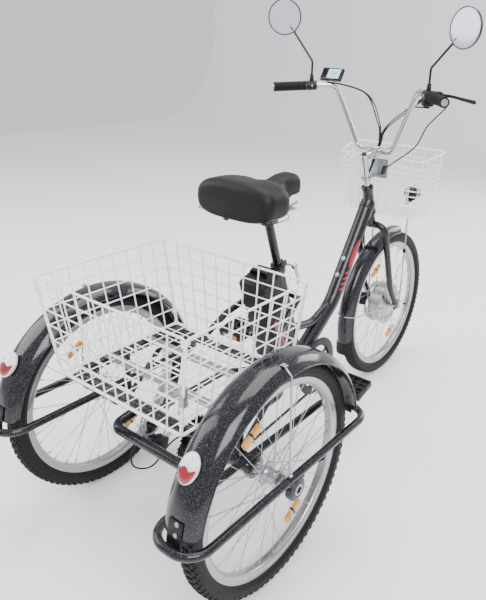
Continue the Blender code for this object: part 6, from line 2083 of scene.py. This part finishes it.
@dataclass
class Cables:
    """Brake, throttle, display and motor cables on the handlebar side.

    Attributes:
        tie: Where they are tied together.
    """

    tie: Vector = field(default_factory=lambda: BAR_CENTRE + Vector((0, -0.034, 0.030)))

    def _bundle(self, shape: Shape, route: Sequence[Vector], count: int, radius: float, gap: float) -> None:
        """Run a few cables side by side, each wandering a little.

        Args:
            shape: Shape that takes them.
            route: Points of their common way.
            count: How many.
            radius: Radius of one.
            gap: How far apart they run.
        """
        line = smooth(route, 12)
        total = len(line) - 1
        for index in range(count):
            turn = TAU * index / count
            path = []
            for i, point in enumerate(line):
                t = i / total
                sway = noise.noise(Vector((t * 3.1, index * 7.3, 0.4))) * 0.010 * math.sin(math.pi * t)
                angle = turn + 2.2 * t
                offset = Vector((math.cos(angle), math.sin(angle), 0.25 * math.sin(angle + 1.0))) * gap
                path.append(point + offset + Vector((sway, sway * 0.4, 0)))
            shape.tube(path, radius, 10)

    def build(self) -> None:
        """Publish the cables and their ties."""
        tie = self.tie
        cables = Shape()
        neck = steer(0.578, -0.046, 0.024)
        foot = steer(0.463, -0.034, 0.028)
        end = steer(0.393, -0.026, 0.036)
        self._bundle(cables, [tie + Vector((0, 0.004, 0.030)), tie, neck, foot, end], 5, 0.0021, 0.0042)
        left = along_bar(0.138, 1) + Vector((0, -0.055, 0.004))
        right = along_bar(0.138, -1) + Vector((0, -0.055, 0.004))
        for start, s, count in ((left, 1, 3), (right, -1, 3)):
            run = [start + Vector((s * 0.012, 0.014, 0)), start + Vector((-s * 0.050, -0.035, 0.004)),
                   tie + Vector((s * 0.110, -0.075, 0.150)), tie + Vector((s * 0.022, -0.020, 0.060)),
                   tie + Vector((0, 0.001, 0.006))]
            self._bundle(cables, run, count, 0.0022, 0.0036)
        plug = Vector((-0.022, BASKET_BACK + 0.009, 0.886))
        loop = [right + Vector((0.010, 0.010, -0.004)), right + Vector((-0.020, -0.075, -0.030)),
                plug + Vector((-0.150, -0.010, 0.170)), plug + Vector((-0.110, -0.016, 0.095)),
                plug + Vector((-0.045, -0.004, 0.036)), plug]
        cables.tube(smooth(loop, 12), 0.0024, 12)
        Piece("cable_bundle", cables, CABLE_BLACK, "steering", ("control_cables",)).publish()
        ties = Shape()
        for spot, axis, radius in ((tie + Vector((0, 0, 0.004)), Vector((0, -0.2, 1)), 0.0082),
                                   (neck, STEER_DIR, 0.0080), (foot, STEER_DIR, 0.0080)):
            ties.lathe([(radius - 0.0010, 0.0026), (radius, 0.0026), (radius, -0.0026),
                        (radius - 0.0010, -0.0026)],
                       spot, axis, 28)
        ties.rod(plug + Vector((-0.004, 0, 0.012)), plug + Vector((0.004, 0, -0.018)), 0.0075, sides=24,
                 round_edge=0.0015)
        Piece("cable_ties", ties, GLOSS_BLACK, "steering").publish()
        motor = smooth([end, FRONT_AXLE + Vector((0.074, 0.074, 0.300)),
                        FRONT_AXLE + Vector((0.076, 0.036, 0.120)),
                        FRONT_AXLE + Vector((0.079, 0.014, 0.030)),
                        FRONT_AXLE + Vector((0.077, 0.0, 0.004))], 10)
        Piece("motor_cable", Shape().tube(motor, 0.0030, 12), CABLE_BLACK, "steering").publish()
        hose = smooth([end + Vector((0.004, 0.004, 0)), FRONT_AXLE + Vector((0.074, 0.082, 0.230)),
                       FRONT_AXLE + Vector((0.066, 0.105, 0.120)),
                       FRONT_AXLE + Vector((0.054, 0.096, 0.062))], 10)
        Piece("front_brake_cable", Shape().tube(hose, 0.0024, 12), CABLE_BLACK, "steering").publish()


@dataclass
class FrontBasket:
    """Wire basket ahead of the bars, with its bracket and struts.

    Attributes:
        low: Height of its floor.
        high: Height of its rim at the rear.
        rise: Front rim above the rear rim.
        depth: From its rear wall to its front wall.
        rear: Y of its rear wall.
        rear_half: Half width of the rear wall, below and above.
        front_half: Half width of the front wall, below and above.
        rows: Wires round its walls.
    """

    low: float = 0.720
    high: float = 0.932
    rise: float = 0.026
    depth: float = 0.145
    rear: float = BASKET_BACK
    rear_half: tuple[float, float] = (0.147, 0.173)
    front_half: tuple[float, float] = (0.170, 0.196)
    rows: int = 9

    def corners(self, level: float) -> list[Vector]:
        """Corners of the ring at a share of the height, from the rear right corner on."""
        rear = self.rear_half[0] + (self.rear_half[1] - self.rear_half[0]) * level
        front = self.front_half[0] + (self.front_half[1] - self.front_half[0]) * level
        y = self.rear - self.depth + 0.006 - 0.012 * level
        z = self.low + (self.high - self.low) * level
        up = z + self.rise * level
        back = self.rear
        return [Vector((-rear, back, z)), Vector((rear, back, z)), Vector((front, y, up)),
                Vector((-front, y, up))]

    def build(self) -> None:
        """Publish wires, rim, bracket and struts."""
        wires = Shape()
        for index in range(1, self.rows + 1):
            level = (index / (self.rows + 1)) * 0.93
            wires.tube(rounded(self.corners(level), 0.022, 6, True), 0.0018, 8, True)
        wires.tube(rounded(self.corners(0.0), 0.018, 6, True), 0.0022, 10, True)
        wires.tube(rounded(self.corners(0.985), 0.026, 8, True), 0.0034, 14, True)
        base, top = self.corners(0.0), self.corners(0.985)
        for side in range(4):
            a, b = base[side], base[(side + 1) % 4]
            c, d = top[side], top[(side + 1) % 4]
            count = max(round((b - a).length / 0.036), 2)
            for i in range(1, count):
                t = i / count
                wires.rod(a.lerp(b, t), c.lerp(d, t), 0.0019, sides=8)
        floor_a, floor_b, floor_c, floor_d = base
        lift = Vector((0, 0, 0.0022))
        for i in range(1, 18):
            wires.rod(floor_a.lerp(floor_b, i / 18), floor_d.lerp(floor_c, i / 18), 0.0014, sides=8)
        for i in range(1, 9):
            wires.rod(floor_a.lerp(floor_d, i / 9) + lift, floor_b.lerp(floor_c, i / 9) + lift, 0.0014,
                      sides=8)
        Piece("front_basket_wires", wires, WIRE_WHITE, "steering", ("front_basket",)).publish()
        bracket = Shape()
        plate_z = self.high - 0.045
        bracket.box((0.070, 0.004, 0.070), Vector((0, self.rear + 0.0030, plate_z)), edge=0.0018)
        reach = steer(0.603)
        arm = reach.y - 0.0128 - 0.002 - (self.rear + 0.001)
        bracket.box((0.022, arm, 0.006), Vector((0, self.rear + 0.001 + arm / 2, reach.z)), edge=0.0018)
        bracket.lathe([(0.0128, 0.004), (0.0180, 0.004), (0.0188, 0.003), (0.0188, -0.003), (0.0180, -0.004),
                       (0.0128, -0.004)], reach, STEER_DIR, 40)
        Piece("basket_bracket", bracket, GREY_STEEL, "steering").publish()
        bolts = Shape()
        for x in (-0.024, 0.024):
            for z in (-0.022, 0.022):
                bolts.bolt(Vector((x, self.rear + 0.0055, plate_z + z)), Y_AXIS, 0.0040, 0.0034)
        Piece("bracket_bolts", bolts, ZINC, "steering").publish()
        struts = Shape()
        for _, sign in SIDES:
            head = Vector((sign * 0.075, self.rear - self.depth + 0.020, self.low - 0.0040))
            foot = FRONT_AXLE + Vector((sign * 0.0730, 0.0, 0.012))
            struts.tube(rounded([head + Vector((0, 0.060, 0.001)), head, foot], 0.012, 6), 0.0032, 14)
            struts.box((0.0034, 0.020, 0.030), foot + Vector((0, 0, -0.004)), edge=0.0012)
        Piece("basket_struts", struts, SILVER, "steering").publish()
        knobs = Shape()
        for _, sign in SIDES:
            head = Vector((sign * 0.075, self.rear - self.depth + 0.020, self.low - 0.0040))
            foot = FRONT_AXLE + Vector((sign * 0.0730, 0.0, 0.012))
            knobs.rod(head.lerp(foot, 0.40), head.lerp(foot, 0.44), 0.0064, sides=24, round_edge=0.0012)
        Piece("strut_knobs", knobs, SATIN_BLACK, "steering").publish()


@dataclass
class Headlight:
    """Round headlight under the front basket's foot."""

    def build(self) -> None:
        """Publish lamp and lens."""
        basket = FrontBasket()
        centre = Vector((-0.055, basket.rear - basket.depth - 0.036, basket.low + 0.050))
        lamp = Shape().lathe([(0.0235, 0.0200), (0.0240, 0.0235), (0.0265, 0.0250), (0.0288, 0.0230),
                              (0.0290, 0.0180),
                              (0.0282, 0.0050), (0.0268, -0.0045), (0.0215, -0.0125), (0.0155, -0.0185),
                              (0.0080, -0.0208), (0, -0.0210), (0, 0.0200)], centre, -Y_AXIS, 64)
        for level in (0.0000, -0.0060):
            lamp.lathe([(0.0262, level + 0.0012), (0.0292, level + 0.0012), (0.0292, level - 0.0012),
                        (0.0252, level - 0.0012)], centre, -Y_AXIS, 64)
        lamp.box((0.014, 0.020, 0.012), centre + Vector((0, 0.008, -0.029)), edge=0.003)
        Piece("headlight_shell", lamp, GLOSS_BLACK, "steering", ("headlight",)).publish()
        lens = Shape().lathe([(0, 0.0256), (0.0120, 0.0250), (0.0200, 0.0236), (0.0238, 0.0222),
                              (0.0238, 0.0206),
                              (0, 0.0206)], centre, -Y_AXIS, 64)
        Piece("headlight_lens", lens, CLEAR, "steering").publish()
        bracket = Shape()
        bracket.box((0.016, 0.034, 0.003), centre + Vector((0, 0.024, -0.0345)), edge=0.001)
        bracket.box((0.016, 0.003, 0.022), centre + Vector((0, 0.0400, -0.0270)), edge=0.001)
        Piece("headlight_bracket", bracket, GREY_STEEL, "steering").publish()


@dataclass
class FrontFender:
    """Front mudguard with its wire stay and flap."""

    def build(self) -> None:
        """Publish sheet, stay and flap."""
        guard = Mudguard("front_fender_sheet", FRONT_AXLE, 0.327, 0.060, math.radians(-12), math.radians(112),
                         "steering", "front_fender")
        guard.build()
        stay = Shape()
        angle = math.radians(8)
        for _, sign in SIDES:
            lip = guard.surface(angle, 0.98 * sign, 0.002)
            foot = FRONT_AXLE + Vector((sign * 0.0700, 0.012, 0.010))
            stay.tube(rounded([guard.surface(angle, 0.30 * sign, 0.0030), lip + Vector((sign * 0.004, 0, 0)),
                               foot], 0.008, 6), 0.0022, 12)
        Piece("front_fender_stay", stay, ZINC, "steering").publish()
        flap = Shape()
        start = guard.start - 0.004
        rings = []
        for step in range(10):
            t = step / 9
            place = start - 0.150 * t
            lean = 0.010 * t * t
            half = 0.0285 * (1 + 0.10 * t) * (1 - 0.25 * max(t - 0.8, 0) / 0.2)
            ring = []
            for lift in (0.0, -0.0022):
                xs = [half * (2 * k / 8 - 1) for k in range(9)]
                if lift:
                    xs.reverse()
                for x in xs:
                    sag = 0.010 * abs(x / 0.030) ** 2.4
                    ring.append(flap.bm.verts.new(guard.centre + radial(place, 0.3262 + lean - sag + lift,
                                                                        x)))
            rings.append(ring)
        flap._rings(rings, False, True)
        Piece("mudflap", flap, RUBBER, "steering").publish()


@dataclass
class FrontBrake:
    """Caliper on the left fork blade."""

    def build(self) -> None:
        """Publish the caliper."""
        angle = math.radians(20)
        centre = FRONT_AXLE + radial(angle, 0.084, FRONT_DISC_SIDE)
        turn = Matrix.Rotation(angle, 4, "X")
        body = Shape()
        for x, wide in ((0.0532, 0.0085), (0.0412, 0.0040)):
            spot = Vector((x, centre.y, centre.z)) + turn @ Vector((0, 0.006, 0))
            body.box((wide, 0.026, 0.052), spot, turn, 0.0018)
        body.box((0.0190, 0.0100, 0.052), Vector((0.0480, centre.y, centre.z)) + turn @ Vector((0, 0.0135,
                                                                                                0)), turn,
                 0.003)
        body.rod(Vector((0.0560, centre.y, centre.z)), Vector((0.0590, centre.y, centre.z)), 0.0110, sides=32,
                 round_edge=0.0015)
        Piece("front_caliper_body", body, SATIN_BLACK, "steering", ("front_caliper",)).publish()


# ---- scene ----------------------------------------------------------------------------------------
@dataclass(frozen=True)
class Studio:
    """Pale floor, soft lights and the camera.

    Attributes:
        place: Camera's place.
        heading: Its heading, from +Y towards +X.
        pitch: Its pitch, up from level.
        roll: Its roll.
        lens: Its focal length in millimetres.
        shift: Its shift across and up.
    """

    place: Vector = Vector((-1.0814, 1.54775, 1.3099))
    heading: float = 2.5273
    pitch: float = -0.3485
    roll: float = 0.0423
    lens: float = 36.92
    shift: tuple[float, float] = (-0.0941, -0.0555)

    def build(self) -> None:
        """Add floor, lights and camera."""
        self._floor()
        self._lights()
        self._camera()

    def _floor(self) -> None:
        shape = Shape()
        half, rise = 7.0, 5.0
        rows = [(-half, 0.0)]
        rows += [(half - 1.5 + 1.5 * math.sin(a), 1.5 - 1.5 * math.cos(a)) for a in
                 (math.pi / 2 * i / 16 for i in range(17))]
        rows.append((half, rise))
        lines = [[shape.bm.verts.new((x, -y, z - 0.0006)) for x in (-half, half)] for y, z in rows]
        for first, second in zip(lines, lines[1:]):
            shape.bm.faces.new((first[0], first[1], second[1], second[0]))
        mesh = bpy.data.meshes.new("studio_sweep")
        bmesh.ops.recalc_face_normals(shape.bm, faces=shape.bm.faces)
        shape.bm.to_mesh(mesh)
        shape.bm.free()
        mesh.shade_smooth()
        mesh.materials.append(FLOOR.material())
        floor = bpy.data.objects.new("studio_sweep", mesh)
        bpy.context.scene.collection.objects.link(floor)

    def _lights(self) -> None:
        for name, spot, aim, size, power in (
                ("key", Vector((-2.6, 2.4, 3.6)), Vector((0, 0, 0.5)), 2.4, 190),
                ("fill", Vector((3.2, 1.8, 2.6)), Vector((0, 0, 0.5)), 2.6, 95),
                ("top", Vector((0.2, -0.6, 4.4)), Vector((0, 0, 0.3)), 3.2, 170),
                ("rim", Vector((-0.8, -4.0, 2.4)), Vector((0, 0, 0.6)), 2.0, 90)):
            light = bpy.data.lights.new(name, "AREA")
            light.shape = "SQUARE"
            light.size = size
            light.energy = power
            lamp = bpy.data.objects.new(name, light)
            lamp.matrix_world = facing(spot - aim, spot)
            bpy.context.scene.collection.objects.link(lamp)
        world = bpy.data.worlds.new("studio_sky")
        world.use_nodes = True
        sky = world.node_tree.nodes["Background"]
        sky.inputs["Color"].default_value = (0.93, 0.95, 1.0, 1)
        sky.inputs["Strength"].default_value = 0.95
        bpy.context.scene.world = world

    def _camera(self) -> None:
        ahead = Vector((math.sin(self.heading) * math.cos(self.pitch),
                        math.cos(self.heading) * math.cos(self.pitch), math.sin(self.pitch)))
        right = ahead.cross(Z_AXIS).normalized()
        up = right.cross(ahead)
        across = right * math.cos(self.roll) + up * math.sin(self.roll)
        lift = -right * math.sin(self.roll) + up * math.cos(self.roll)
        data = bpy.data.cameras.new("view")
        data.lens = self.lens
        data.sensor_width = 36
        data.sensor_fit = "AUTO"
        data.shift_x, data.shift_y = self.shift
        camera = bpy.data.objects.new("view", data)
        camera.matrix_world = Matrix.Translation(self.place) @ Matrix((across, lift,
                                                                       -ahead)).transposed().to_4x4()
        bpy.context.scene.collection.objects.link(camera)
        bpy.context.scene.camera = camera


def assemblies() -> Iterable:
    """Every sub-assembly, in building order."""
    seat_top = seat(0.555)
    return [
        Wheel("front", FRONT_AXLE, "front_wheel", ("front_tyre", "front_wheel"), True),
        Wheel("left", REAR_AXLE + X_AXIS * TRACK / 2, "left_wheel", ("left_tyre", "left_wheel")),
        Wheel("right", REAR_AXLE - X_AXIS * TRACK / 2, "rear_axle", ("right_tyre", "right_wheel")),
        Guard("left", 1), Guard("right", -1), RearFender("left", 1), RearFender("right", -1),
        Carriage(), RearBasket(), RearBrake(), MainFrame(), Battery(), SeatMount(),
        Saddle(rear=seat_top.y + 0.024 + 0.146, foot=seat_top.z + 0.016 + 0.0115 + 0.0053),
        ChainLine(), Cranks(), Fork(), Bars(),
        Grip("grip_sleeve_left", 1, 0.002, 0.118, 0.0165, "steering", "grip_left"),
        Grip("grip_sleeve_right", -1, 0.002, 0.0677, 0.0165, "steering", "grip_right"),
        Grip("throttle_sleeve", -1, 0.068, 0.118, 0.0185, "throttle", "throttle_grip"),
        BrakeLever("left", 1), BrakeLever("right", -1), ShiftLever(), Mirror("left", 1), Mirror("right", -1),
        Display(), Cables(), FrontBasket(), Headlight(), FrontFender(), FrontBrake(),
    ]


def main() -> None:
    """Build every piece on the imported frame."""
    logging.basicConfig(level=logging.INFO, format="%(message)s")
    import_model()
    for assembly in assemblies():
        assembly.build()
    Studio().build()
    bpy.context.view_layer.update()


if __name__ == "__main__":
    main()
